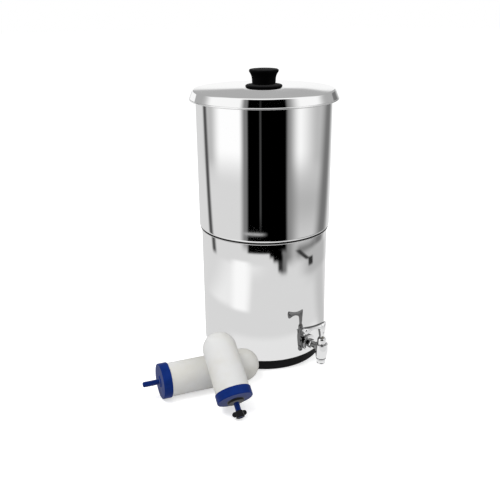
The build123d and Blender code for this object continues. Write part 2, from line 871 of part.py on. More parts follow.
# The short element leans across the long one, its wing nut on the floor.
lean = radians(short_lean_deg)
lean_out = bearing(long_heading - 90)
cross_point = dome_centre + to_cap * cross_from_dome
nut_face_z = nut_hub_r * cos(lean)
axis_distance = 2 * element_r + touch_gap
rise = cross_point.Z - nut_face_z
lean_reach = (axis_distance + rise * cos(lean)) / sin(lean)
nut_face = Vector(cross_point.X, cross_point.Y, nut_face_z) + lean_out * lean_reach
short_up = lean_out * -cos(lean) + Vector(0, 0, sin(lean))
short_across = Vector(0, 0, 1).cross(lean_out).normalized()
cap_face = nut_face + short_up * (element_stem_len + nut_tip_gap)
short_section = section_plane(cap_face, short_up, short_across)
make_element(short_section, short_len, "short")

with BuildPart() as element_washer:
    washer_section = section_plane(
        cap_face - short_up * (cap_boss_h + washer_h), short_up, short_across
    )
    with BuildSketch(washer_section):
        with BuildLine():
            Polyline(
                (element_stem_r + glue_gap, 0),
                (washer_r - washer_h / 3, 0),
                (washer_r, washer_h / 3),
                (washer_r, washer_h),
                (element_stem_r + glue_gap, washer_h),
                close=True,
            )
        make_face()
    revolve(axis=axis_of(washer_section))
finish(element_washer, "element_washer")

short_nut = wing_nut(section_plane(nut_face, short_up, short_across))
with BuildPart() as element_wing_nut:
    add(short_nut)
finish(element_wing_nut, "element_wing_nut")
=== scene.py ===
"""Looks of a gravity water filter: polished chambers, tap and two loose candle elements.

Sizes are millimetres unless a name ends in _m. Bearings round the chambers are degrees
from the camera's side, and run to the left.
"""

import json
import logging
from collections.abc import Callable, Iterator, Sequence
from contextlib import contextmanager
from dataclasses import dataclass
from enum import Enum
from functools import cache
from itertools import pairwise
from math import acos, atan2, ceil, copysign, cos, degrees, pi, radians, sin, sqrt, tan, tau

import bpy
from mathutils import Matrix, Vector


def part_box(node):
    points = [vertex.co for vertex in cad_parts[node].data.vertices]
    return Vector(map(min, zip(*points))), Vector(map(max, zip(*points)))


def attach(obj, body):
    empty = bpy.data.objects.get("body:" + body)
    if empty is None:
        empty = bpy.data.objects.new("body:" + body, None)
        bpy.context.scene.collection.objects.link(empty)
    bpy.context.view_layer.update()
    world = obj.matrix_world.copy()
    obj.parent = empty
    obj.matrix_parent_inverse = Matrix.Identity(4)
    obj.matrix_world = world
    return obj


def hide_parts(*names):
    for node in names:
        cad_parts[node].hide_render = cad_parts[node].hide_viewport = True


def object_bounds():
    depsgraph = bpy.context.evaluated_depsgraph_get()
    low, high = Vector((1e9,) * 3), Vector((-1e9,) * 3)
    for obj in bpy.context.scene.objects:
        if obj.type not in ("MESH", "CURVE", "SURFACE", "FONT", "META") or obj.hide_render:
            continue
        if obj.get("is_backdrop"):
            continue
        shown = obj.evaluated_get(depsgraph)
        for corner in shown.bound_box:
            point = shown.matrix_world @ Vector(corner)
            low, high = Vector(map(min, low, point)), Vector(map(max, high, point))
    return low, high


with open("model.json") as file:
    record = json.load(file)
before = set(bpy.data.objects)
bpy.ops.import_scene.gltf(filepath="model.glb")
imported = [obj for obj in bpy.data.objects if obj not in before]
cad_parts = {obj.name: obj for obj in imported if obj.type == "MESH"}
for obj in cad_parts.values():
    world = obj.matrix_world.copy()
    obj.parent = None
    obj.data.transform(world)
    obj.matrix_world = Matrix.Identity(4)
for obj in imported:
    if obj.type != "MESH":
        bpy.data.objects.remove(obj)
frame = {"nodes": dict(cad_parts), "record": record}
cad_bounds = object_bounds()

log = logging.getLogger("water_filter")

Piece = bpy.types.Object
Socket = bpy.types.NodeSocket
Point = tuple[float, float]
Corner = tuple[float, float, float]
Colour = tuple[float, float, float]

MM = 0.001
WELD_M = 2e-6
ARC_STEP = 9.0
GUARD = 0.3
SMOOTH_ANGLE = radians(32.0)
BEVEL_ANGLE = radians(40.0)
STRAIGHT = radians(89.9)
UP = Vector((0, 0, 1))

# Starts of the names of pieces that the steel doesn't reflect.
UNMIRRORED = ("knob", "long_element", "short_element", "element_")


class Body(Enum):
    """The moving bodies that pieces ride on."""

    BASE = "base"
    UPPER = "upper"
    LID = "lid"
    TAP_HANDLE = "tap_handle"
    LONG_ELEMENT = "long_element"
    SHORT_ELEMENT = "short_element"
    WING_NUT = "wing_nut"


class Slot(Enum):
    """The record's material slots."""

    STEEL = "polished_steel"
    CHROME = "chrome_plate"
    PLAIN_STEEL = "plain_steel"
    BRASS = "brass"
    RUBBER = "base_rubber"
    SILICONE = "silicone"
    KNOB = "knob_plastic"
    NYLON = "black_nylon"
    BLUE = "blue_plastic"
    CERAMIC = "ceramic"
    MEDIA = "filter_media"
    FELT = "felt"


class Combining(Enum):
    """Ways to combine two solids."""

    JOIN = "UNION"
    CUT = "DIFFERENCE"


# ---- outlines ---------------------------------------------------------------------
def rounded(corners: Sequence[Corner]) -> list[Point]:
    """Rounds the corners of an open outline.

    A ring is kept a little way off on each side of every arc, so that a long wall beside
    a small rounding stays true in a mirror finish.

    Args:
        corners: Distance from the axis, distance along it and corner radius.

    Returns:
        The outline's points, with each rounded corner as an arc.
    """
    points: list[Point] = [corners[0][:2]]
    for before, corner, after in zip(corners, corners[1:], corners[2:]):
        here = Vector(corner[:2])
        back = (Vector(before[:2]) - here).normalized()
        ahead = (Vector(after[:2]) - here).normalized()
        radius = corner[2]
        half = acos(max(-1.0, min(1.0, back.dot(ahead)))) / 2
        if radius <= 0 or half > STRAIGHT:
            points.append(corner[:2])
            continue
        reach = radius / tan(half)
        centre = here + (back + ahead).normalized() * (radius / sin(half))
        start = here + back * reach - centre
        sweep = pi - 2 * half
        turn = 1.0 if back.x * ahead.y - back.y * ahead.x < 0 else -1.0
        steps = max(2, ceil(degrees(sweep) / ARC_STEP))
        points.append(tuple(here + back * (reach + GUARD * radius)))
        for step in range(steps + 1):
            spoke = start.copy()
            spoke.rotate(Matrix.Rotation(turn * sweep * step / steps, 2))
            points.append(tuple(centre + spoke))
        points.append(tuple(here + ahead * (reach + GUARD * radius)))
    points.append(corners[-1][:2])
    return points


def arc(
    centre: Point, radius: float, start: float, end: float, step: float = ARC_STEP
) -> list[Point]:
    """Points on an arc, from one angle to another in degrees from the outward direction.

    Args:
        centre: Its centre.
        radius: Its radius.
        start: The first angle.
        end: The last angle.
        step: The widest step between two points, in degrees.

    Returns:
        The points, with both ends.
    """
    count = max(2, ceil(abs(end - start) / step))
    angles = [radians(start + (end - start) * number / count) for number in range(count + 1)]
    return [(centre[0] + radius * cos(a), centre[1] + radius * sin(a)) for a in angles]


def through(knots: Sequence[Point], steps: int) -> list[Point]:
    """A smooth curve through a few knots (Catmull-Rom), sampled evenly between them.

    Args:
        knots: Points that the curve runs through.
        steps: Steps from knot to knot.

    Returns:
        The points, with both ends.
    """
    ends = [knots[0], *knots, knots[-1]]
    points: list[Point] = [knots[0]]
    for near in zip(ends, ends[1:], ends[2:], ends[3:]):
        for step in range(1, steps + 1):
            t = step / steps
            weights = (
                -t / 2 + t * t - t ** 3 / 2,
                1 - 2.5 * t * t + 1.5 * t ** 3,
                t / 2 + 2 * t * t - 1.5 * t ** 3,
                -t * t / 2 + t ** 3 / 2,
            )
            points.append(tuple(sum(w * k[i] for w, k in zip(weights, near)) for i in (0, 1)))
    return points


def mitred(corners: Sequence[Corner], thickness: float) -> list[Corner]:
    """The other face of a sheet, from its face's corners.

    Args:
        corners: The given face, with its corner radii.
        thickness: Distance to the other face, to the left of the way along the corners
            where it is positive.

    Returns:
        The other face's corners in the same order, with radii that keep the sheet even.
    """
    places = [Vector(corner[:2]) for corner in corners]
    ways = [(b - a).normalized() for a, b in pairwise(places)]
    lefts = [Vector((-way.y, way.x)) for way in ways]
    other: list[Corner] = [(*(places[0] + lefts[0] * thickness), 0.0)]
    for place, (first, second), (left_a, left_b), corner in zip(
        places[1:], pairwise(ways), pairwise(lefts), corners[1:]
    ):
        mitre = (left_a + left_b).normalized()
        spot = place + mitre * (thickness / mitre.dot(left_a))
        left_turn = first.x * second.y - first.y * second.x > 0
        radius = max(0.0, corner[2] - thickness if left_turn else corner[2] + thickness)
        other.append((*spot, radius))
    other.append((*(places[-1] + lefts[-1] * thickness), 0.0))
    return other


def thread(
    root: float, crest: float, first: float, pitch: float, turns: int, flat: Point
) -> list[Point]:
    """Outline of a thread: in each turn a root, then a crest that is flat over a span.

    Args:
        root: Radius at the root.
        crest: Radius over the thread.
        first: Place of the first root along the axis.
        pitch: The thread's pitch.
        turns: How many turns there are.
        flat: Start and end of the crest, as shares of the pitch.

    Returns:
        The points along the thread.
    """
    return [
        (radius, first + (turn + share) * pitch)
        for turn in range(turns)
        for radius, share in ((root, 0.0), (crest, flat[0]), (crest, flat[1]))
    ]


def profile_value(at: float, knots: Sequence[Point]) -> float:
    """A value that runs smoothly, without overshoot, through knots of place and value.

    Args:
        at: The place.
        knots: Places and values, in order.

    Returns:
        The value there.
    """
    steps = [(high - low) / (b - a) for (a, low), (b, high) in pairwise(knots)]
    inner = [2 * a * b / (a + b) if a * b > 0 else 0.0 for a, b in pairwise(steps)]
    slopes = [steps[0], *inner, steps[-1]]
    for (a, low), (b, high), first, last in zip(knots, knots[1:], slopes, slopes[1:]):
        if at <= b:
            span = b - a
            t = max(0.0, (at - a) / span)
            back = 1 - t
            ends = low * (1 + 2 * t) * back * back + high * t * t * (3 - 2 * t)
            return ends + span * t * back * (first * back - last * t)
    return knots[-1][1]


def superellipse(angle: float, power: float) -> Point:
    """A point on a rounded square of half width 1."""
    return tuple(copysign(abs(v) ** (2 / power), v) for v in (cos(angle), sin(angle)))


# ---- modelling --------------------------------------------------------------------
def fresh(name: str, add: Callable[..., object], **settings: object) -> Piece:
    """Adds a primitive with nothing else selected, and names it.

    Args:
        name: The piece's name.
        add: The operator that adds it.
        **settings: The operator's settings.

    Returns:
        The new object.
    """
    bpy.ops.object.select_all(action="DESELECT")
    add(**settings)
    piece = bpy.context.active_object
    piece.name = piece.data.name = name
    return piece


def disc(name: str, corners: int, radius_m: float) -> Piece:
    """A flat disc with so many corners."""
    add = bpy.ops.mesh.primitive_circle_add
    return fresh(name, add, vertices=corners, radius=radius_m, fill_type="NGON")


def pick(piece: Piece) -> None:
    """Selects one object and makes it the active one.

    Args:
        piece: The object.
    """
    bpy.ops.object.select_all(action="DESELECT")
    piece.select_set(True)
    bpy.context.view_layer.objects.active = piece


@contextmanager
def editing(piece: Piece) -> Iterator[None]:
    """Edit mode on one piece, with all of it selected at first.

    Args:
        piece: The piece to edit.

    Yields:
        Nothing; the mode ends with the block.
    """
    pick(piece)
    bpy.ops.object.mode_set(mode="EDIT")
    bpy.ops.mesh.select_all(action="SELECT")
    yield
    bpy.ops.object.mode_set(mode="OBJECT")


def face_outwards() -> None:
    """Selects the whole mesh in edit mode and turns its faces outwards."""
    bpy.ops.mesh.select_all(action="SELECT")
    bpy.ops.mesh.normals_make_consistent(inside=False)


def settle(piece: Piece) -> Piece:
    """Puts a piece's place into its mesh and smooths its shading, save at sharp edges.

    Args:
        piece: The piece.

    Returns:
        The same piece.
    """
    pick(piece)
    bpy.ops.object.transform_apply(location=True, rotation=True, scale=True)
    bpy.ops.object.shade_smooth_by_angle(angle=SMOOTH_ANGLE)
    return piece


def modify(piece: Piece, kind: str, **settings: object) -> None:
    """Applies one modifier to a piece.

    Args:
        piece: The piece.
        kind: The modifier's type.
        **settings: The modifier's properties.
    """
    pick(piece)
    modifier = piece.modifiers.new(kind, kind)
    for key, value in settings.items():
        setattr(modifier, key, value)
    bpy.ops.object.modifier_apply(modifier=modifier.name)


def combine(piece: Piece, tool: Piece, how: Combining) -> Piece:
    """Joins or cuts a piece with another by an exact boolean, and uses the other up.

    Args:
        piece: The piece that stays.
        tool: The piece that is used up.
        how: Whether the tool is added or taken away.

    Returns:
        The piece that stays.
    """
    modify(piece, "BOOLEAN", operation=how.value, solver="EXACT", object=tool)
    bpy.data.objects.remove(tool)
    with editing(piece):
        bpy.ops.mesh.remove_doubles(threshold=WELD_M)
    return settle(piece)


def soften(piece: Piece, width: float) -> Piece:
    """Rounds a piece's sharp edges.

    Args:
        piece: The piece.
        width: Width of the rounding.

    Returns:
        The same piece.
    """
    limit = {"limit_method": "ANGLE", "angle_limit": BEVEL_ANGLE}
    modify(piece, "BEVEL", width=width * MM, segments=4, **limit)
    return settle(piece)


@dataclass(frozen=True)
class Lathe:
    """An axis that pieces are turned about.

    Attributes:
        origin_m: A point on the axis.
        along: The axis's direction.
        across: A direction square to it, in which outlines are drawn.
    """

    origin_m: Vector
    along: Vector = UP
    across: Vector = Vector((1, 0, 0))

    @property
    def aside(self) -> Vector:
        """The direction square to the other two."""
        return self.along.cross(self.across)

    @property
    def axes(self) -> Matrix:
        """The turn that brings x, y and z across, aside and along."""
        return Matrix((self.across, self.aside, self.along)).transposed().to_4x4()

    def at(self, out: float, up: float) -> Vector:
        """The place at these distances from the axis and along it, in metres."""
        return self.origin_m + (self.across * out + self.along * up) * MM

    def turn(self, name: str, outline: Sequence[Point], steps: int = 96) -> Piece:
        """Turns an outline into a piece.

        Args:
            name: The piece's name.
            outline: Points that start and end on the axis, or that end where they start.
            steps: Facets in a full turn.

        Returns:
            The finished piece, at the origin, with its place in its mesh.
        """
        piece = fresh(name, bpy.ops.mesh.primitive_plane_add, size=MM)
        with editing(piece):
            bpy.ops.mesh.merge(type="CENTER")
            bpy.ops.transform.translate(value=self.at(*outline[0]))
            for here, there in pairwise(outline):
                move = {"value": self.at(*there) - self.at(*here)}
                bpy.ops.mesh.extrude_region_move(TRANSFORM_OT_translate=move)
            bpy.ops.mesh.select_all(action="SELECT")
            bpy.ops.mesh.spin(steps=steps, angle=tau, center=self.origin_m, axis=self.along)
            bpy.ops.mesh.select_all(action="SELECT")
            bpy.ops.mesh.remove_doubles(threshold=WELD_M)
            face_outwards()
        return settle(piece)


UPRIGHT = Lathe(Vector((0, 0, 0)))


def bar(
    name: str, lathe: Lathe, sides: int, radius: float, ends: Point, edge: float = 0.0
) -> Piece:
    """A straight bar of even section.

    Args:
        name: The bar's name.
        lathe: Its axis; a corner of the section points across it.
        sides: Corners of the section.
        radius: From the axis to a corner.
        ends: Start and end along the axis.
        edge: Width by which its edges are softened.

    Returns:
        The finished bar.
    """
    low, high = ends
    piece = disc(name, sides, radius * MM)
    corner_first = Matrix.Rotation(-pi / 2, 4, "Z")
    piece.matrix_world = Matrix.Translation(lathe.at(0, low)) @ lathe.axes @ corner_first
    settle(piece)
    with editing(piece):
        move = {"value": lathe.along * (high - low) * MM}
        bpy.ops.mesh.extrude_region_move(TRANSFORM_OT_translate=move)
        face_outwards()
        if edge > 0:
            bpy.ops.mesh.bevel(offset=edge * MM, segments=3)
    return settle(piece)


def block(name: str, centre_m: Vector, turn: Matrix, size: Corner) -> Piece:
    """A box, turned and set in its place.

    Args:
        name: Its name.
        centre_m: Its centre.
        turn: Its turn about that centre.
        size: Its three sides.

    Returns:
        The finished box.
    """
    piece = fresh(name, bpy.ops.mesh.primitive_cube_add, size=1.0)
    scale = Matrix.Diagonal((*(side * MM for side in size), 1.0))
    piece.matrix_world = Matrix.Translation(centre_m) @ turn @ scale
    return settle(piece)


# ---- shading ----------------------------------------------------------------------
class Term:
    """A number socket that takes part in Python arithmetic."""

    def __init__(self, graph: "Graph", socket: Socket) -> None:
        """Wraps a socket of a graph."""
        self.graph = graph
        self.socket = socket

    def maths(self, operation: str, *values: object) -> "Term":
        """A Math node on the given values."""
        return self.graph.term("Math", dict(enumerate(values)), operation=operation)

    def __add__(self, other: object) -> "Term":
        """Sum."""
        return self.maths("ADD", self, other)

    def __sub__(self, other: object) -> "Term":
        """Difference."""
        return self.maths("SUBTRACT", self, other)

    def __rsub__(self, other: object) -> "Term":
        """Difference, with this term taken away."""
        return self.maths("SUBTRACT", other, self)

    def __mul__(self, other: object) -> "Term":
        """Product."""
        return self.maths("MULTIPLY", self, other)

    def __rtruediv__(self, other: object) -> "Term":
        """Quotient, with this term below the line."""
        return self.maths("DIVIDE", other, self)

    def size(self) -> "Term":
        """Absolute value."""
        return self.maths("ABSOLUTE", self)

    def rise(self, low: object, high: object) -> "Term":
        """A smooth step from 0 at low to 1 at high."""
        sockets = {"Value": self, "From Min": low, "From Max": high}
        return self.graph.term("MapRange", sockets, interpolation_type="SMOOTHSTEP")


class Graph:
    """A node tree that is written as expressions."""

    def __init__(self, tree: bpy.types.NodeTree) -> None:
        """Takes over a tree and empties it."""
        self.tree = tree
        tree.nodes.clear()

    def node(
        self, kind: str, sockets: dict[str | int, object] | None = None, **settings: object
    ) -> bpy.types.Node:
        """Adds a shader node.

        Args:
            kind: The node's type, without its prefix.
            sockets: Input names or numbers, with a value, a socket or a term for each.
            **settings: Properties, which are set first.

        Returns:
            The new node.
        """
        made = self.tree.nodes.new("ShaderNode" + kind)
        for key, value in settings.items():
            setattr(made, key, value)
        for key, value in (sockets or {}).items():
            value = value.socket if isinstance(value, Term) else value
            if isinstance(value, Socket):
                self.tree.links.new(value, made.inputs[key])
            else:
                made.inputs[key].default_value = value
        return made

    def term(
        self, kind: str, sockets: dict[str | int, object], output: str | int = 0, **settings: object
    ) -> Term:
        """Adds a node and wraps one of its outputs."""
        return Term(self, self.node(kind, sockets, **settings).outputs[output])

    def measure(self, operation: str, *vectors: object) -> Term:
        """A number made of vectors by a Vector Math node."""
        return self.term("VectorMath", dict(enumerate(vectors)), "Value", operation=operation)

    def blend(self, factor: object, first: object, second: object) -> Socket:
        """Mixes two colours."""
        return self.node("Mix", {0: factor, 6: first, 7: second}, data_type="RGBA").outputs[2]

    def coordinates(self, scale: Corner = (1, 1, 1)) -> Socket:
        """Object coordinates, stretched by a scale."""
        source = self.node("TexCoord").outputs["Object"]
        return self.node("Mapping", {"Vector": source, "Scale": scale}).outputs[0]

    def noise(self, scale: float, detail: float = 3.0, stretch: Corner = (1, 1, 1)) -> Term:
        """Noise over the surface, around 0.5, with a size of 1 / scale metres."""
        place = self.coordinates(stretch)
        return self.term("TexNoise", {"Vector": place, "Scale": scale, "Detail": detail})


def new_material(name: str) -> tuple[bpy.types.Material, Graph]:
    """A material and its empty graph.

    Args:
        name: Its name.

    Returns:
        The material and its graph.
    """
    made = bpy.data.materials.new(name)
    made.use_nodes = True
    return made, Graph(made.node_tree)


def paint(colour: Colour, share: float = 1.0) -> tuple[float, ...]:
    """A colour with its alpha, dimmed or lifted by a share."""
    return (*(min(1.0, channel * share) for channel in colour), 1.0)


def grey(level: float) -> tuple[float, ...]:
    """A grey colour with its alpha."""
    return (level, level, level, 1.0)


@dataclass(frozen=True)
class Finish:
    """What every finish shares: a Principled shader with relief.

    Attributes:
        name: The material's name.
        colour: Base colour.
        roughness: Mean roughness.
    """

    name: str
    colour: Colour
    roughness: float

    def constants(self) -> dict[str, float]:
        """Sockets that hold one value all over the surface."""
        return {}

    def colour_over(self, graph: Graph) -> object:
        """Base colour over the surface."""
        patches = graph.noise(60.0).rise(0.3, 0.7)
        return graph.blend(patches, paint(self.colour, 0.9), paint(self.colour, 1.1))

    def roughness_over(self, graph: Graph) -> Term:
        """Roughness over the surface."""
        return graph.noise(90.0) * (0.3 * self.roughness) + 0.85 * self.roughness

    def relief(self, graph: Graph) -> tuple[Term, float]:
        """Height over the surface, and the distance in metres that a height of 1 stands for."""
        return graph.noise(400.0), 0.00005

    def material(self) -> bpy.types.Material:
        """Builds the material.

        Returns:
            The new material.
        """
        made, graph = new_material(self.name)
        height, distance = self.relief(graph)
        sockets = {
            "Base Color": self.colour_over(graph),
            "Roughness": self.roughness_over(graph),
            "Normal": graph.node("Bump", {"Height": height, "Distance": distance}).outputs[0],
            **self.constants(),
        }
        shader = graph.node("BsdfPrincipled", sockets)
        graph.node("OutputMaterial", {"Surface": shader.outputs[0]})
        return made


@dataclass(frozen=True)
class PolishedMetal(Finish):
    """Metal with a bright finish.

    Attributes:
        ripple: Height of the slow waves left by spinning and polishing, in metres.
        lines: Height of the fine polishing lines, in metres.
        smudge: Roughness added where the surface was handled.
    """

    ripple: float = 3e-5
    lines: float = 2e-7
    smudge: float = 0.03

    def constants(self) -> dict[str, float]:
        """A full metal."""
        return {"Metallic": 1.0}

    def colour_over(self, graph: Graph) -> object:
        """A trace of uneven brightness."""
        return graph.blend(graph.noise(25.0), paint(self.colour, 0.985), paint(self.colour))

    def roughness_over(self, graph: Graph) -> Term:
        """Clean metal with faint handled patches."""
        return graph.noise(11.0, 4.0).rise(0.52, 0.75) * self.smudge + self.roughness

    def relief(self, graph: Graph) -> tuple[Term, float]:
        """Slow ripples with polishing lines round the piece on top."""
        waves = graph.noise(9.0, 1.0, (1.0, 1.0, 0.35)) * self.ripple
        return waves + graph.noise(260.0, 2.0, (0.05, 0.05, 9.0)) * self.lines, 1.0


@dataclass(frozen=True)
class SeamedMetal(PolishedMetal):
    """Metal of stacked vessels: polished outside, satin inside, with painted shade at their seam.

    Attributes:
        seam_m: Height of the seam.
        seam_shade_half_m: Half the height of the band of shade painted along the seam.
        seam_shade_depth: How dark that painted shade is, where 1 is black.
        satin: Roughness added on the inside.
    """

    seam_m: float = 0.2462
    seam_shade_half_m: float = 0.0011
    seam_shade_depth: float = 0.93
    satin: float = 0.45

    def colour_over(self, graph: Graph) -> object:
        """A trace of uneven brightness, and shade painted along the seam.

        Args:
            graph: The material's graph.

        Returns:
            The colour's socket.
        """
        # Painted shade: a thin band at the seam's height goes towards black, standing in for the
        # shadow in the gap between the chambers.
        height = graph.term("SeparateXYZ", {0: graph.coordinates()}, 2)
        away = (height - self.seam_m).size()
        line = 1.0 - away.rise(self.seam_shade_half_m, 2 * self.seam_shade_half_m)
        return graph.blend(line * self.seam_shade_depth, super().colour_over(graph), grey(0.0))

    def roughness_over(self, graph: Graph) -> Term:
        """Rougher where the surface faces the upright axis, as a vessel's inside does.

        Args:
            graph: The material's graph.

        Returns:
            The roughness.
        """
        flat = graph.coordinates((1, 1, 0))
        spoke = graph.node("VectorMath", {0: flat}, operation="NORMALIZE").outputs[0]
        facing = graph.measure("DOT_PRODUCT", spoke, graph.node("NewGeometry").outputs["Normal"])
        return super().roughness_over(graph) + (1.0 - facing.rise(-0.6, -0.3)) * self.satin


@dataclass(frozen=True)
class Moulded(Finish):
    """Moulded plastic or rubber.

    Attributes:
        grain: Grains in a metre.
        depth: Height of the grain, in metres.
        shine: Strength of the plain highlight, where 0.5 is usual for plastic.
    """

    grain: float = 900.0
    depth: float = 2e-5
    shine: float = 0.5

    def constants(self) -> dict[str, float]:
        """A dull or glossy skin."""
        return {"Specular IOR Level": self.shine}

    def relief(self, graph: Graph) -> tuple[Term, float]:
        """Moulding grain over slow sink marks."""
        slow = graph.noise(35.0, 1.0) * 3.0
        return graph.noise(self.grain, 2.0) + slow, self.depth


@dataclass(frozen=True)
class FiredCeramic(Finish):
    """Unglazed fired ceramic: pale, with soft clouds, specks and a sanded grain."""

    def colour_over(self, graph: Graph) -> object:
        """Clouds of cream and grey with scattered darker specks.

        Args:
            graph: The material's graph.

        Returns:
            The colour's socket.
        """
        red, green, blue = self.colour
        cream = paint((red, green * 0.985, blue * 0.93), 0.97)
        cloudy = graph.noise(22.0, 5.0).rise(0.35, 0.68)
        clouds = graph.blend(cloudy, cream, paint(self.colour, 1.03))
        specks = graph.noise(900.0, 1.0).rise(0.74, 0.8) * 0.35
        return graph.blend(specks, clouds, paint(self.colour, 0.72))

    def relief(self, graph: Graph) -> tuple[Term, float]:
        """Sanding marks and open pores."""
        pores = graph.noise(1400.0, 2.0).rise(0.25, 0.45)
        return pores + graph.noise(160.0, 4.0) * 1.5, 6e-5


@dataclass(frozen=True)
class Granular(Finish):
    """Loose grains or fibres, seen only where a piece is opened.

    Attributes:
        grain: Grains in a metre.
    """

    grain: float = 700.0

    def relief(self, graph: Graph) -> tuple[Term, float]:
        """Rounded grains side by side.

        Args:
            graph: The material's graph.

        Returns:
            The height, and what a height of 1 stands for in metres.
        """
        place = graph.coordinates()
        cells = graph.term("TexVoronoi", {"Vector": place, "Scale": self.grain})
        return 1.0 - cells, 0.0004


FINISHES: dict[Slot, Finish] = {
    Slot.STEEL: SeamedMetal("mirror_polished_steel", (0.96, 0.96, 0.96), 0.03),
    Slot.CHROME: PolishedMetal(
        "bright_chrome", (0.95, 0.95, 0.955), 0.03, ripple=2e-6, lines=1e-7, smudge=0.02
    ),
    Slot.PLAIN_STEEL: PolishedMetal(
        "satin_steel", (0.6, 0.6, 0.6), 0.3, ripple=2e-6, lines=2e-6, smudge=0.1
    ),
    Slot.BRASS: PolishedMetal(
        "plated_brass", (0.75, 0.72, 0.66), 0.22, ripple=1e-6, lines=3e-6, smudge=0.1
    ),
    Slot.RUBBER: Moulded(
        "matt_rubber", (0.0055, 0.0055, 0.006), 0.7, grain=1500.0, depth=3e-5, shine=0.15
    ),
    Slot.SILICONE: Moulded(
        "satin_silicone", (0.004, 0.004, 0.0045), 0.4, grain=700.0, depth=1e-5, shine=0.2
    ),
    Slot.KNOB: Moulded("black_phenolic", (0.0015, 0.0015, 0.0017), 0.5, depth=6e-6, shine=0.04),
    Slot.NYLON: Moulded(
        "black_nylon", (0.003, 0.003, 0.004), 0.36, grain=1200.0, depth=1e-5, shine=0.15
    ),
    Slot.BLUE: Moulded(
        "blue_moulding", (0.003, 0.021, 0.15), 0.4, grain=1100.0, depth=1.5e-5, shine=0.07
    ),
    Slot.CERAMIC: FiredCeramic("fired_ceramic", (0.655, 0.655, 0.65), 0.85),
    Slot.MEDIA: Granular("packed_granules", (0.03, 0.03, 0.032), 0.8, grain=900.0),
    Slot.FELT: Granular("white_felt", (0.78, 0.78, 0.75), 0.95, grain=2600.0),
}


@cache
def material(slot: Slot) -> bpy.types.Material:
    """The material of a slot, made when it is first asked for."""
    return FINISHES[slot].material()


def dress(piece: Piece, slot: Slot, body: Body, *nodes: str) -> None:
    """Gives a new piece its finish, its body and the nodes that it stands for.

    Args:
        piece: The finished piece.
        slot: The slot that it takes its finish from.
        body: The body that it rides on.
        *nodes: The nodes that it replaces, where there are any.
    """
    piece.data.materials.clear()
    piece.data.materials.append(material(slot))
    piece.visible_glossy = not piece.name.startswith(UNMIRRORED)
    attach(piece, body.value)
    if nodes:
        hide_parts(*nodes)
    log.info("%s rides on %s, %d faces", piece.name, body.value, len(piece.data.polygons))


def dress_nodes() -> None:
    """Gives every node that stays its own finish."""
    slots = {part["node"]: Slot(part["material_slot"]) for part in frame["record"]["subparts"]}
    for name, node in frame["nodes"].items():
        node.visible_glossy = not name.startswith(UNMIRRORED)
        for holder in node.material_slots:
            holder.material = material(slots[name])


# ---- measures read from the frame --------------------------------------------------
@dataclass(frozen=True)
class Extent:
    """A node's box, in millimetres.

    Attributes:
        low: Its lowest corner.
        high: Its highest corner.
    """

    low: Vector
    high: Vector

    @classmethod
    def of(cls, node: str) -> "Extent":
        """The box of a node."""
        low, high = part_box(node)
        return cls(Vector(low) / MM, Vector(high) / MM)

    @property
    def radius(self) -> float:
        """Half the width of an upright turned node."""
        return (self.high.x - self.low.x) / 2


def joint(name: str) -> dict:
    """A joint of the record, by name."""
    return next(j for j in frame["record"]["behaviour"]["joints"] if j["name"] == name)


def mount(name: str) -> dict:
    """A mount of the record, by name."""
    return next(m for m in frame["record"]["mounts"] if m["name"] == name)


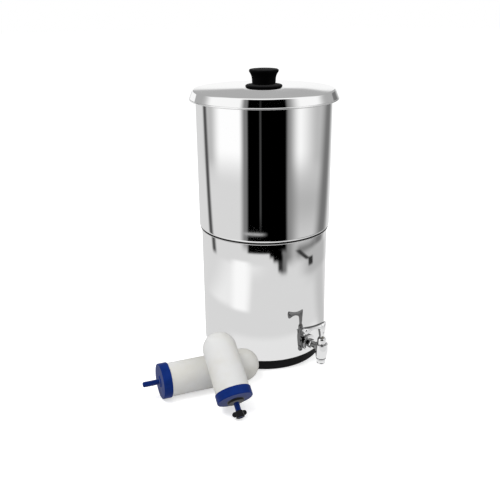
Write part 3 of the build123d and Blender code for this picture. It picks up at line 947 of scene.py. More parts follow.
# ---- chambers ---------------------------------------------------------------------
@dataclass
class Chambers:
    """The base ring and the two stacked chambers.

    Attributes:
        sheet: Thickness of the steel.
        bead: Radius of the rolled rims.
        foot_corner: Outer corner radius of the lower chamber's foot.
        foot_step: Height of the step that is pressed up inside the foot.
        ring_width: From the base ring's outside to its inside.
        ring_spigot: Height of the ring's inner lip.
        ring_lip_in: From the ring's outside to its lip.
        nest_corner: Outer corner radius of the upper chamber's foot.
        nest_gap: Between the upper chamber's foot and the lower chamber.
        seat_gap: Between loose pieces that stand on each other.
        shoulder: Outer corner radius of the upper chamber's shoulder.
        hole: Radius of the holes for the elements' stems.
        hole_pitch: From the axis to those holes.
        facets: Facets in a full turn.
    """

    sheet: float = 1.0
    bead: float = 1.7
    foot_corner: float = 8.0
    foot_step: float = 6.0
    ring_width: float = 18.0
    ring_spigot: float = 3.0
    ring_lip_in: float = 10.0
    nest_corner: float = 5.0
    nest_gap: float = 0.6
    seat_gap: float = 0.2
    shoulder: float = 4.0
    hole: float = 5.25
    hole_pitch: float = 59.0
    facets: int = 192

    def wall(self, box: Extent) -> float:
        """Radius of a vessel's wall, inside its rolled rim."""
        return box.radius - 2 * self.bead + self.sheet

    def vessel(self, face: list[Corner], box: Extent) -> list[Point]:
        """Outline of a vessel with a rolled rim.

        Args:
            face: Corners of its outer face, from the axis to the foot of its wall.
            box: The vessel's box.

        Returns:
            The outline, from the axis over the rim and back.
        """
        wall = face[-1][0]
        top = box.high.z
        start = degrees(acos((self.bead - self.sheet) / self.bead)) - 180
        rim = arc((wall - self.sheet + self.bead, top - self.bead), self.bead, start, 180)
        face = [*face, (wall, top - 2 * self.bead, 0)]
        inner = mitred([*face, (wall, top - self.bead, 0.0)], self.sheet)
        return [*rounded([*face, (*rim[0], 0.0)]), *rim[1:-1], *reversed(rounded(inner))]

    def build_base(self) -> None:
        """The rubber ring and the lower chamber."""
        box = Extent.of("base_ring")
        out, lip, inside = (box.radius - inset for inset in (0, self.ring_lip_in, self.ring_width))
        top, crown = box.high.z - self.ring_spigot, box.high.z
        outline = rounded([
            (inside, top / 2, 0), (inside, 0, 1.2), (out, 0, 1.8), (out, top, 1.6),
            (lip, top, 0.4), (lip, crown, 0.8), (inside, crown, 0.8), (inside, top / 2, 0),
        ])
        ring = UPRIGHT.turn("base_ring_moulding", outline, self.facets)
        dress(ring, Slot.RUBBER, Body.BASE, "base_ring")
        lower = Extent.of("lower_chamber")
        floor, step = top + self.foot_step, lip + self.seat_gap
        face = [
            (0, floor, 0), (step, floor, 1.0), (step, top, 3.0),
            (self.wall(lower), top, self.foot_corner),
        ]
        shell = UPRIGHT.turn("lower_chamber_shell", self.vessel(face, lower), self.facets)
        dress(shell, Slot.STEEL, Body.BASE, "lower_chamber")

    def build_upper(self) -> None:
        """The upper chamber, with its holes."""
        lower, upper = Extent.of("lower_chamber"), Extent.of("upper_chamber")
        floor, seat = upper.low.z, lower.high.z + self.seat_gap
        nest = lower.radius - 2 * self.bead - self.nest_gap
        face = [
            (0, floor, 0), (nest, floor, self.nest_corner), (nest, seat, 0.1),
            (self.wall(upper), seat, self.shoulder),
        ]
        shell = UPRIGHT.turn("upper_chamber_shell", self.vessel(face, upper), self.facets)
        for quarter in range(4):
            angle = radians(45 + 90 * quarter)
            spot = Vector((cos(angle), sin(angle), 0)) * self.hole_pitch * MM
            drill = bar("drill", Lathe(spot), 48, self.hole, (floor - 2, floor + 3))
            combine(shell, drill, Combining.CUT)
        dress(shell, Slot.STEEL, Body.UPPER, "upper_chamber")

    def build(self) -> None:
        """All of the stack under the lid."""
        self.build_base()
        self.build_upper()


# ---- lid --------------------------------------------------------------------------
@dataclass
class Lid:
    """The lid and its knob.

    Attributes:
        sheet: Thickness of the steel.
        bead: Radius of the rolled edge.
        bead_start: How far round the bead its roll starts, in degrees from the skirt's outside.
        pad: Radius of the flat under the knob.
        rise: From the lid's edge up to that flat.
        flare: How much the skirt widens towards its bead.
        corner: Corner radius between top and skirt.
        blend: Corner radius round the flat.
        base_rim: Corner radius of the knob's base.
        base_band: Start and end of the base's upright band, as shares of its height.
        base_foot: Radius of the base where it meets the lid.
        base_top: Radius of the base's upper edge.
        neck: Radius at the knob's waist.
        neck_mid: Radius part way up the neck.
        crown: Height of the crown.
        crown_edge: Corner radius round the crown.
        overlap: How deep knob and base reach into one another.
        facets: Facets of the lid in a full turn.
        knob_facets: And of the knob.
    """

    sheet: float = 1.0
    bead: float = 1.6
    bead_start: float = 55.0
    pad: float = 36.0
    rise: float = 0.5
    flare: float = 5.0
    corner: float = 3.0
    blend: float = 144.0
    base_rim: float = 1.1
    base_band: Point = (0.34, 0.71)
    base_foot: float = 29.8
    base_top: float = 29.6
    neck: float = 20.0
    neck_mid: float = 21.3
    crown: float = 1.6
    crown_edge: float = 2.2
    overlap: float = 0.1
    facets: int = 192
    knob_facets: int = 128

    def build_lid(self) -> None:
        """The steel lid."""
        box = Extent.of("lid")
        edge = box.high.z - self.rise
        skirt = box.radius - self.bead
        low = box.low.z + self.bead
        top: list[Corner] = [
            (0, box.high.z, 0),
            (self.pad, box.high.z, self.blend),
            (skirt - self.flare, edge, self.corner),
        ]
        under = mitred([*top, (skirt, low, 0)], -self.sheet)[:-1]
        outside = degrees(atan2(low - edge, self.flare)) + 90
        end = outside - 180 - degrees(acos(self.sheet / self.bead))
        bead = arc((skirt, low), self.bead, outside + self.bead_start, end)
        inner = rounded([*under, (*bead[-1], 0)])[:-1]
        outline = [*rounded([*top, (*bead[0], 0)]), *bead[1:], *reversed(inner)]
        lid = UPRIGHT.turn("lid_shell", outline, self.facets)
        dress(lid, Slot.STEEL, Body.LID, "lid")

    def build_knob(self) -> None:
        """The knob and its wide base."""
        box = Extent.of("knob_base")
        foot, top = box.low.z, box.high.z
        band = [foot + (top - foot) * share for share in self.base_band]
        outline = rounded([
            (0, foot, 0), (self.base_foot, foot, 0.4),
            *((box.radius, height, self.base_rim) for height in band),
            (self.base_top, top - 1.1, 1.6), (self.neck + 1, top - self.overlap / 2, 0),
            (0, top - self.overlap / 2, 0),
        ])
        base = UPRIGHT.turn("knob_base_turning", outline, self.knob_facets)
        dress(base, Slot.KNOB, Body.LID, "knob_base")
        box = Extent.of("knob")
        radius, shoulder = box.radius, box.high.z - self.crown
        flare = shoulder - 1.5 * self.crown_edge
        waist = [(self.neck, top - self.overlap), (self.neck_mid, (top + box.high.z) / 2)]
        sphere = (radius ** 2 + self.crown ** 2) / (2 * self.crown)
        crown = [
            (out, box.high.z - sphere + sqrt(sphere ** 2 - out ** 2))
            for out in (radius * share for share in (0.88, 0.75, 0.6, 0.45, 0.3, 0.15, 0.0))
        ]
        rim = rounded([(radius, flare, 0), (radius, shoulder, self.crown_edge), (*crown[0], 0)])
        side = through([*waist, (radius, flare)], 10)
        outline = [(0, top - self.overlap), *side, *rim[1:-1], *crown]
        knob = UPRIGHT.turn("knob_turning", outline, self.knob_facets)
        dress(knob, Slot.KNOB, Body.LID, "knob")

    def build(self) -> None:
        """The whole lid."""
        self.build_lid()
        self.build_knob()


# ---- tap --------------------------------------------------------------------------
# The lever by distance from its hub's axis: half its width, its underside and its top.
LEVER_WIDTH: tuple[Point, ...] = (
    (-7.5, 1.5), (-6.1, 2.9), (-3.0, 5.3), (0.0, 6.1), (4.0, 5.9), (9.0, 4.9), (17.6, 4.3),
    (26.0, 4.8), (33.0, 5.9), (37.8, 6.5), (41.5, 5.9), (43.5, 4.5), (44.0, 3.9),
)
LEVER_UNDERSIDE: tuple[Point, ...] = (
    (-7.5, 93.0), (-6.9, 90.0), (-6.1, 87.0), (-5.2, 82.0), (-4.4, 74.0), (-3.8, 66.6),
    (-3.5, 65.6), (3.5, 65.6), (3.8, 66.6), (4.4, 73.0), (5.4, 78.5), (7.0, 82.6), (9.0, 84.8),
    (12.3, 86.8), (18.0, 88.8), (24.2, 89.3), (32.0, 88.0), (38.0, 85.4), (41.0, 85.2),
    (43.0, 87.0), (44.0, 89.8),
)
LEVER_TOP: tuple[Point, ...] = (
    (-7.5, 94.4), (0.0, 93.6), (9.0, 93.2), (16.0, 93.5), (24.2, 94.3), (33.0, 95.6),
    (38.5, 96.6), (40.9, 96.9), (42.6, 95.6), (43.6, 93.4), (44.0, 91.8),
)
LEVER_STATIONS: tuple[float, ...] = (
    -7.5, -7.2, -6.9, -6.5, -6.1, -5.6, -5.2, -4.8, -4.4, -4.1, -3.8, -3.5, -3.0, -2.0, -1.0,
    0.0, 1.0, 2.0, 3.0, 3.5, 3.8, 4.1, 4.4, 4.9, 5.4, 6.2, 7.0, 8.0, 9.0, 10.5, 12.3, 15.0,
    18.0, 21.0, 24.2, 28.0, 31.5, 34.5, 37.0, 39.0, 40.6, 41.8, 42.7, 43.4, 43.8, 44.0,
)
# Heights, and the share of the lever's width that its post has there.
LEVER_POST: tuple[Point, ...] = ((65.0, 0.58), (72.0, 0.62), (80.0, 0.76), (89.0, 1.0), (97.0, 1.0))


@dataclass
class Tap:
    """The tap: flange, body, bonnet, nozzle and lever.

    Attributes:
        shank: Height of the shank's axis.
        shank_bore: Radius of its bore.
        root: Radius at the root of its thread.
        crest: Radius over that thread.
        pitch: The thread's pitch.
        flat: Start and end of its crest, as shares of the pitch.
        thread_start: From the shank's tail to the thread.
        thread_end: From the chamber's outside in to the thread's other end.
        barrel_low: Radius of the barrel's lower end.
        barrel_top: Radius of the barrel's upper end.
        barrel_edge: Radius of the edges at both ends.
        belly: Height of the barrel's widest part.
        neck: Radius of the neck.
        flats: Across the collar's flats.
        collar: How far the collar stands out from the flange.
        collar_edge: Width of the softening of its edges.
        flange_edge: How much the flange's edge is thinner than its middle.
        rim: Radius of the bonnet's rim.
        rim_height: Height of that rim.
        cheek: Radius of the bonnet's side.
        cheek_height: Height of its straight part above the barrel.
        lip: Radius of the bonnet's top.
        lug: Width of the lug on the bonnet's rim.
        lug_bearing: Its bearing from the spout's outer side.
        bore: Radius of the nozzle's bore.
        hub: Radius of the lever's hub.
        corners: Corners of the lever's sections.
        squareness: Power of the lever's sections, where 2 is round.
        rest_turn: The closed lever's turn towards the wall, in degrees.
        pin: Radius of the lever's cross pin.
        pin_height: Height of that pin.
    """

    shank: float = 44.0
    shank_bore: float = 3.8
    root: float = 5.6
    crest: float = 6.2
    pitch: float = 1.5
    flat: Point = (0.35, 0.6)
    thread_start: float = 0.8
    thread_end: float = 6.0
    barrel_low: float = 9.2
    barrel_top: float = 10.2
    barrel_edge: float = 0.5
    belly: float = 40.0
    neck: float = 5.6
    flats: float = 14.6
    collar: float = 6.8
    collar_edge: float = 0.35
    flange_edge: float = 1.4
    rim: float = 11.0
    rim_height: float = 1.6
    cheek: float = 7.7
    cheek_height: float = 9.8
    lip: float = 6.2
    lug: float = 2.6
    lug_bearing: float = 43.0
    bore: float = 5.0
    hub: float = 6.1
    corners: int = 40
    squareness: float = 3.2
    rest_turn: float = 5.0
    pin: float = 1.3
    pin_height: float = 76.0

    def __post_init__(self) -> None:
        """Reads the axes and the boxes that the pieces share."""
        x, y, _ = joint("lever_turn")["pos_m"]
        self.spout = Lathe(Vector((x, y, 0)))
        self.shank_axis = Lathe(Vector((0, 0, self.shank * MM)), Vector((0, -1, 0)))
        self.body = Extent.of("tap_body")
        self.flange = Extent.of("tap_flange")
        self.face = -self.flange.low.y

    def build_barrel(self) -> None:
        """The barrel with its neck, and the collar."""
        low, top = self.body.low.z, self.body.high.z
        foot, head, nip = self.barrel_low, self.barrel_top, self.barrel_edge
        side = through([(foot, low + nip), (self.body.radius, self.belly), (head, top - nip)], 12)
        bend = 0.3 * nip
        outline = [
            (0, low), (foot - nip, low), (foot - bend, low + bend), *side,
            (head - bend, top - bend), (head - nip, top), (0, top),
        ]
        barrel = self.spout.turn("tap_barrel", outline)
        end = -self.spout.origin_m.y / MM
        outline = [(0, self.face), (self.neck, self.face), (self.neck, end), (0, end)]
        combine(barrel, self.shank_axis.turn("tap_neck", outline, 64), Combining.JOIN)
        dress(barrel, Slot.CHROME, Body.BASE, "tap_body")
        corner = self.flats / 2 / cos(radians(30))
        ends = (self.face - 0.3, self.face + self.collar)
        collar = bar("tap_collar", self.shank_axis, 6, corner, ends, self.collar_edge)
        dress(collar, Slot.CHROME, Body.BASE)

    def build_shank(self) -> None:
        """The threaded shank through the wall, and the flange against it."""
        face, tail, bore = self.face, -self.body.high.y, self.shank_bore
        end = Extent.of("lower_chamber").high.y - self.thread_end
        turns, first = int((end - tail) / self.pitch), tail + self.thread_start
        grooves = thread(self.root, self.crest, first, self.pitch, turns, self.flat)
        outline = [
            (bore, face), (bore, tail), (self.root, tail),
            *grooves, (self.crest, face), (bore, face),
        ]
        shank = self.shank_axis.turn("tap_shank_thread", outline, 64)
        dress(shank, Slot.CHROME, Body.BASE)
        rim, inner = self.flange.radius, self.flats / 2
        edge, back = face - self.flange_edge, 0.1 - self.flange.high.y
        dish = [(inner, face), ((rim + inner) / 2, face - 0.4), (rim - 0.5, edge + 0.25)]
        outline = [
            (0, face), *through(dish, 8), *arc((rim - 0.7, edge - 0.35), 0.7, 60, 0),
            (rim, back), (0, back),
        ]
        plate = self.shank_axis.turn("tap_flange_plate", outline)
        dress(plate, Slot.CHROME, Body.BASE, "tap_flange")

    def build_bonnet(self) -> None:
        """The bonnet over the turning plug, with the lug on its rim."""
        low, top = self.body.high.z, Extent.of("tap_bonnet").high.z
        rim_top = low + self.rim_height
        knots = [
            (self.cheek, rim_top + 0.6),
            (self.cheek, low + self.cheek_height * 0.6),
            (self.cheek - 0.1, low + self.cheek_height),
            (self.cheek - 0.6, top - 1.6),
            (self.lip + 0.3, top - 0.3),
        ]
        foot = [
            (0, low + 0.05, 0), (self.rim, low + 0.05, 0.35), (self.rim, rim_top, 0.35),
            (self.cheek + 0.6, rim_top, 0),
        ]
        outline = [
            *rounded(foot), (self.cheek + 0.2, rim_top + 0.15), *through(knots, 6),
            (self.lip, top), (0, top),
        ]
        bonnet = self.spout.turn("tap_bonnet_turning", outline)
        turn = radians(self.lug_bearing)
        away = Vector((-sin(turn), -cos(turn), 0)) * self.rim
        centre = self.spout.origin_m + (away + UP * (low + self.rim_height / 2)) * MM
        size = (self.lug, 2 * self.lug, self.rim_height)
        lug = block("tap_lug", centre, Matrix.Rotation(-turn, 4, "Z"), size)
        with editing(lug):
            bpy.ops.mesh.bevel(offset=0.3 * MM, segments=3)
        combine(bonnet, settle(lug), Combining.JOIN)
        dress(bonnet, Slot.CHROME, Body.BASE, "tap_bonnet")

    def build_nozzle(self) -> None:
        """The nozzle and the dark ring over it."""
        box, ring = Extent.of("tap_nozzle"), Extent.of("nozzle_ring")
        low, top, out = box.low.z, box.high.z, box.radius
        shoulder, ring_top = ring.low.z, ring.high.z
        outline = rounded([
            (self.bore, low + 6, 0), (self.bore, low, 0.3), (out - 1.0, low, 0.5),
            (out - 0.6, low + 1.4, 0.6), (out - 1.0, low + 2.8, 0.6),
            (out - 1.0, shoulder - 2.8, 0.8), (out, shoulder - 1.4, 0.4), (out, shoulder, 0.2),
            (out - 2.0, shoulder, 0), (out - 2.0, top, 0), (self.bore, top, 0),
            (self.bore, low + 6, 0),
        ])
        nozzle = self.spout.turn("tap_nozzle_turning", outline, 80)
        dress(nozzle, Slot.CHROME, Body.BASE, "tap_nozzle")
        inside, seam = out - 1.9, shoulder + 0.8
        outline = rounded([
            (inside, seam, 0), (inside, shoulder, 0), (ring.radius, shoulder, 0.75),
            (ring.radius, ring_top, 0.75), (inside, ring_top, 0), (inside, seam, 0),
        ])
        moulding = self.spout.turn("nozzle_ring_moulding", outline, 80)
        dress(moulding, Slot.SILICONE, Body.BASE, "nozzle_ring")

    def build_lever(self) -> None:
        """The lever: sections along its length, drawn out one from another."""
        turn = radians(self.rest_turn)
        way = Vector((-cos(turn), sin(turn), 0))
        aside = way.cross(UP)
        lever = disc("tap_lever_casting", self.corners, 1.0)
        lever.rotation_euler = (pi / 2, 0, 0)
        settle(lever)
        with editing(lever):
            for _ in LEVER_STATIONS[1:]:
                bpy.ops.mesh.extrude_region_move()
        vertices = iter(lever.data.vertices)
        for along in LEVER_STATIONS:
            half_width, low, top = (
                profile_value(along, knots) for knots in (LEVER_WIDTH, LEVER_UNDERSIDE, LEVER_TOP)
            )
            for corner in range(self.corners):
                across, rise = superellipse(tau * corner / self.corners, self.squareness)
                height = (low + top) / 2 + rise * (top - low) / 2
                out = across * half_width * profile_value(height, LEVER_POST)
                spot = way * along + aside * out + UP * height
                next(vertices).co = self.spout.origin_m + spot * MM
        with editing(lever):
            face_outwards()
        pin = Lathe(self.spout.at(0, self.pin_height), aside, way)
        combine(lever, bar("pin_hole", pin, 32, self.pin, (-9, 9)), Combining.CUT)
        dress(lever, Slot.CHROME, Body.TAP_HANDLE, "tap_lever")
        half = self.hub * profile_value(self.pin_height, LEVER_POST) - 0.5
        thick = self.pin - 0.05
        outline = rounded([(0, -half, 0), (thick, -half, 0.5), (thick, half, 0.5), (0, half, 0)])
        cross_pin = pin.turn("tap_lever_pin", outline, 32)
        dress(cross_pin, Slot.PLAIN_STEEL, Body.TAP_HANDLE, "lever_pin")

    def build(self) -> None:
        """The whole tap."""
        self.build_barrel()
        self.build_shank()
        self.build_bonnet()
        self.build_nozzle()
        self.build_lever()


# ---- filter elements ---------------------------------------------------------------
@dataclass
class Element:
    """One candle element: a ceramic shell in a moulded cap with a threaded stem.

    Attributes:
        name: The element's name in the nodes.
        body: The body that it rides on.
        face: Its axis, from the cap's outer face towards the dome.
        length: Cap and shell together, without the stem.
        radius: The shell's radius.
        wall: The shell's thickness.
        cap: The cap's radius.
        cap_height: The cap's height.
        cap_floor: Thickness of the cap's end.
        boss: Radius of the boss round the stem.
        boss_height: Its height.
        stem: The stem's radius over the thread.
        stem_bore: Radius of the hole in the stem.
        stem_length: The stem's length.
        lead_in: Plain part of the stem before the thread.
        run_out: And after it.
        groove: Depth of the thread.
        pitch: The thread's pitch.
        flat: Start and end of its crest, as shares of the pitch.
        facets: Facets in a full turn.
    """

    name: str
    body: Body
    face: Lathe
    length: float
    radius: float = 28.5
    wall: float = 8.0
    cap: float = 30.08
    cap_height: float = 15.0
    cap_floor: float = 4.0
    boss: float = 9.0
    boss_height: float = 1.6
    stem: float = 4.75
    stem_bore: float = 2.5
    stem_length: float = 29.0
    lead_in: float = 1.6
    run_out: float = 1.2
    groove: float = 0.55
    pitch: float = 1.5
    flat: Point = (0.32, 0.58)
    facets: int = 128

    def add(self, kind: str, slot: Slot, outline: Sequence[Point], *nodes: str) -> None:
        """Turns one of the element's pieces and dresses it."""
        piece = self.face.turn(f"{self.name}_{kind}", outline, self.facets)
        dress(piece, slot, self.body, *nodes)

    def build(self) -> None:
        """Shell, cap and the bead of cement between them."""
        dome = self.length - self.radius
        bore = self.radius - self.wall
        floor, rim = self.cap_floor, self.cap_height
        outline = [
            (bore, floor), (self.radius, floor), (self.radius, dome / 2), (self.radius, dome - 4),
            *arc((0, dome), self.radius, 0, 90, 5.0), *arc((0, dome), bore, 90, 0), (bore, floor),
        ]
        self.add("ceramic", Slot.CERAMIC, outline, f"{self.name}_shell")
        root, end = self.stem - self.groove, -self.stem_length
        first = end + self.lead_in
        threaded = self.stem_length - self.lead_in - self.boss_height - self.run_out
        turns = int(threaded / self.pitch)
        last = first + turns * self.pitch
        inside = self.radius + 0.05
        cap = [
            (root, last + 0.3, 0), (root, -self.boss_height, 0.4),
            (self.boss, -self.boss_height, 0.5), (self.boss + self.boss_height, 0, 0.6),
            (self.cap, 0, 1.3), (self.cap, rim, 0.7), (inside, rim, 0),
        ]
        outline = [
            (self.stem_bore, floor), (self.stem_bore, end), (root - 0.5, end), (root, end + 0.5),
            *thread(root, self.stem, first, self.pitch, turns, self.flat),
            (root, last), *rounded(cap), (inside, floor), (self.stem_bore, floor),
        ]
        self.add("cap_moulding", Slot.BLUE, outline, f"{self.name}_cap")
        inner = self.radius - 0.3
        low, high = rim - 0.6, rim + 1.4
        outline = rounded([
            (inner, low, 0), (self.cap - 0.5, low, 0), (self.cap - 0.6, rim + 0.35, 0.3),
            (self.radius + 0.1, high, 0.4), (inner, high, 0), (inner, low, 0),
        ])
        self.add("cement_bead", Slot.CERAMIC, outline)


@dataclass
class WingNut:
    """A moulded wing nut.

    Attributes:
        hub: Radius of the hub at its open end.
        hub_top: Radius at the clamping end.
        height: The hub's height.
        bore: Radius of the hole.
        ear: Radius of each wing.
        ear_out: From the axis to a wing's centre.
        ear_up: From the open end to that centre.
        ear_width: Thickness of the wings.
        web: Height of the web between hub and wing.
        web_width: Its thickness, as a share of the wing's.
    """

    hub: float = 7.2
    hub_top: float = 6.4
    height: float = 11.0
    bore: float = 4.8
    ear: float = 4.2
    ear_out: float = 8.0
    ear_up: float = 6.6
    ear_width: float = 3.4
    web: float = 6.3
    web_width: float = 0.92

    def build(self, name: str, axis: Lathe) -> Piece:
        """Models a nut, its open end at the axis's origin.

        Args:
            name: The nut's name.
            axis: Its axis.

        Returns:
            The finished nut.
        """
        middle = self.height / 2
        outline = rounded([
            (self.bore, middle, 0), (self.bore, 0, 0.4), (self.hub, 0, 0.8),
            (self.hub_top, self.height, 0.5), (self.bore, self.height, 0.3), (self.bore, middle, 0),
        ])
        nut = axis.turn(name, outline)
        size = (self.ear_out - self.bore, self.ear_width * self.web_width, self.web)
        for side in (-1, 1):
            centre = axis.at(side * self.ear_out, self.ear_up)
            start = centre - axis.aside * (self.ear_width / 2) * MM
            flat = Lathe(start, axis.aside, axis.along)
            wing = bar("wing", flat, 48, self.ear, (0, self.ear_width))
            combine(nut, soften(wing, 0.8), Combining.JOIN)
            centre = axis.at(side * (self.bore + self.ear_out) / 2, self.ear_up)
            web = block("web", centre, axis.axes, size)
            combine(nut, soften(web, 0.5), Combining.JOIN)
        return nut


@dataclass
class Elements:
    """The two loose elements, and the washer and wing nut on the short one.

    Attributes:
        long_length: Length of the long element.
        short_length: Length of the short one.
        nut_gap: From the nut's open end to the stem's end.
        washer: The washer's radius.
        washer_bore: Radius of its hole.
        washer_height: Its height.
        washer_edge: Width of its bevel.
    """

    long_length: float = 178.0
    short_length: float = 119.0
    nut_gap: float = 1.0
    washer: float = 14.5
    washer_bore: float = 4.8
    washer_height: float = 3.2
    washer_edge: float = 1.1

    def build(self) -> None:
        """Both elements."""
        stem = mount("element_stem")
        outwards = Vector(stem["axis"]).normalized()
        half_stem = (Element.boss_height + stem["dims"]["length_mm"] / 2) * MM
        cap_end = Vector(stem["pos_m"]) - outwards * half_stem
        face = Lathe(cap_end, -outwards, UP.cross(outwards).normalized())
        Element("long_element", Body.LONG_ELEMENT, face, self.long_length).build()
        turn = joint("wing_nut_turn")
        axis = Vector(turn["axis"]).normalized()
        across = UP.cross(-Vector((axis.x, axis.y, 0)).normalized())
        open_end = Vector(turn["pos_m"])
        cap_end = open_end + axis * (Element.stem_length + self.nut_gap) * MM
        face = Lathe(cap_end, axis, across)
        Element("short_element", Body.SHORT_ELEMENT, face, self.short_length).build()
        top, out, bore = -Element.boss_height, self.washer, self.washer_bore
        low, middle = top - self.washer_height, top - self.washer_height / 2
        outline = rounded([
            (bore, middle, 0), (bore, low, 0.3), (out - self.washer_edge, low, 0.6),
            (out, low + self.washer_edge, 0.6), (out, top, 0.5), (bore, top, 0.2),
            (bore, middle, 0),
        ])
        washer = face.turn("element_washer_moulding", outline)
        dress(washer, Slot.SILICONE, Body.SHORT_ELEMENT, "element_washer")
        nut = WingNut().build("element_wing_nut_moulding", Lathe(open_end, axis, across))
        dress(nut, Slot.NYLON, Body.WING_NUT, "element_wing_nut")


@dataclass
class BlankingPlugs:
    """The plugs in the two spare holes.

    Attributes:
        hole_pitch: From the axis to the holes.
    """

    hole_pitch: float = Chambers.hole_pitch

    def build(self) -> None:
        """The wing nuts under the upper chamber's floor."""
        low = Extent.of("plug_wing_nuts").low.z
        for number, side in enumerate((-1, 1), start=1):
            away = Vector((side, side, 0)).normalized() * self.hole_pitch
            nut = WingNut().build(f"plug_wing_nut_{number}", Lathe((away + UP * low) * MM))
            dress(nut, Slot.NYLON, Body.UPPER, "plug_wing_nuts")


# ---- studio -----------------------------------------------------------------------
@dataclass(frozen=True)
class Card:
    """Something in the studio that the polished steel reflects.

    Attributes:
        bearing: Where its middle stands round the filter.
        half: Half its width, in degrees.
        soft: Width of its fading edges, in degrees.
        level: Its brightness, where 1 is white.
        near_m: From this far out it shows on the floor.
        far_m: And up to here.
        fade_m: Over this much of the floor it comes and goes.
        drift: How much its bearing turns close to the filter, in degrees at 1 m.
        top: Its height above the horizon in degrees, or 0 where it lies on the floor only.
    """

    bearing: float
    half: float
    soft: float
    level: float
    near_m: float = 0.0
    far_m: float = 99.0
    fade_m: float = 0.3
    drift: float = 0.0
    top: float = 0.0


@dataclass(frozen=True)
class Lamp:
    """A soft round lamp.

    Attributes:
        name: Its name.
        bearing: Where it stands round the filter.
        elevation: Its height over the horizon, in degrees.
        size_m: Its width.
        watts: Its power.
    """

    name: str
    bearing: float
    elevation: float
    size_m: float
    watts: float


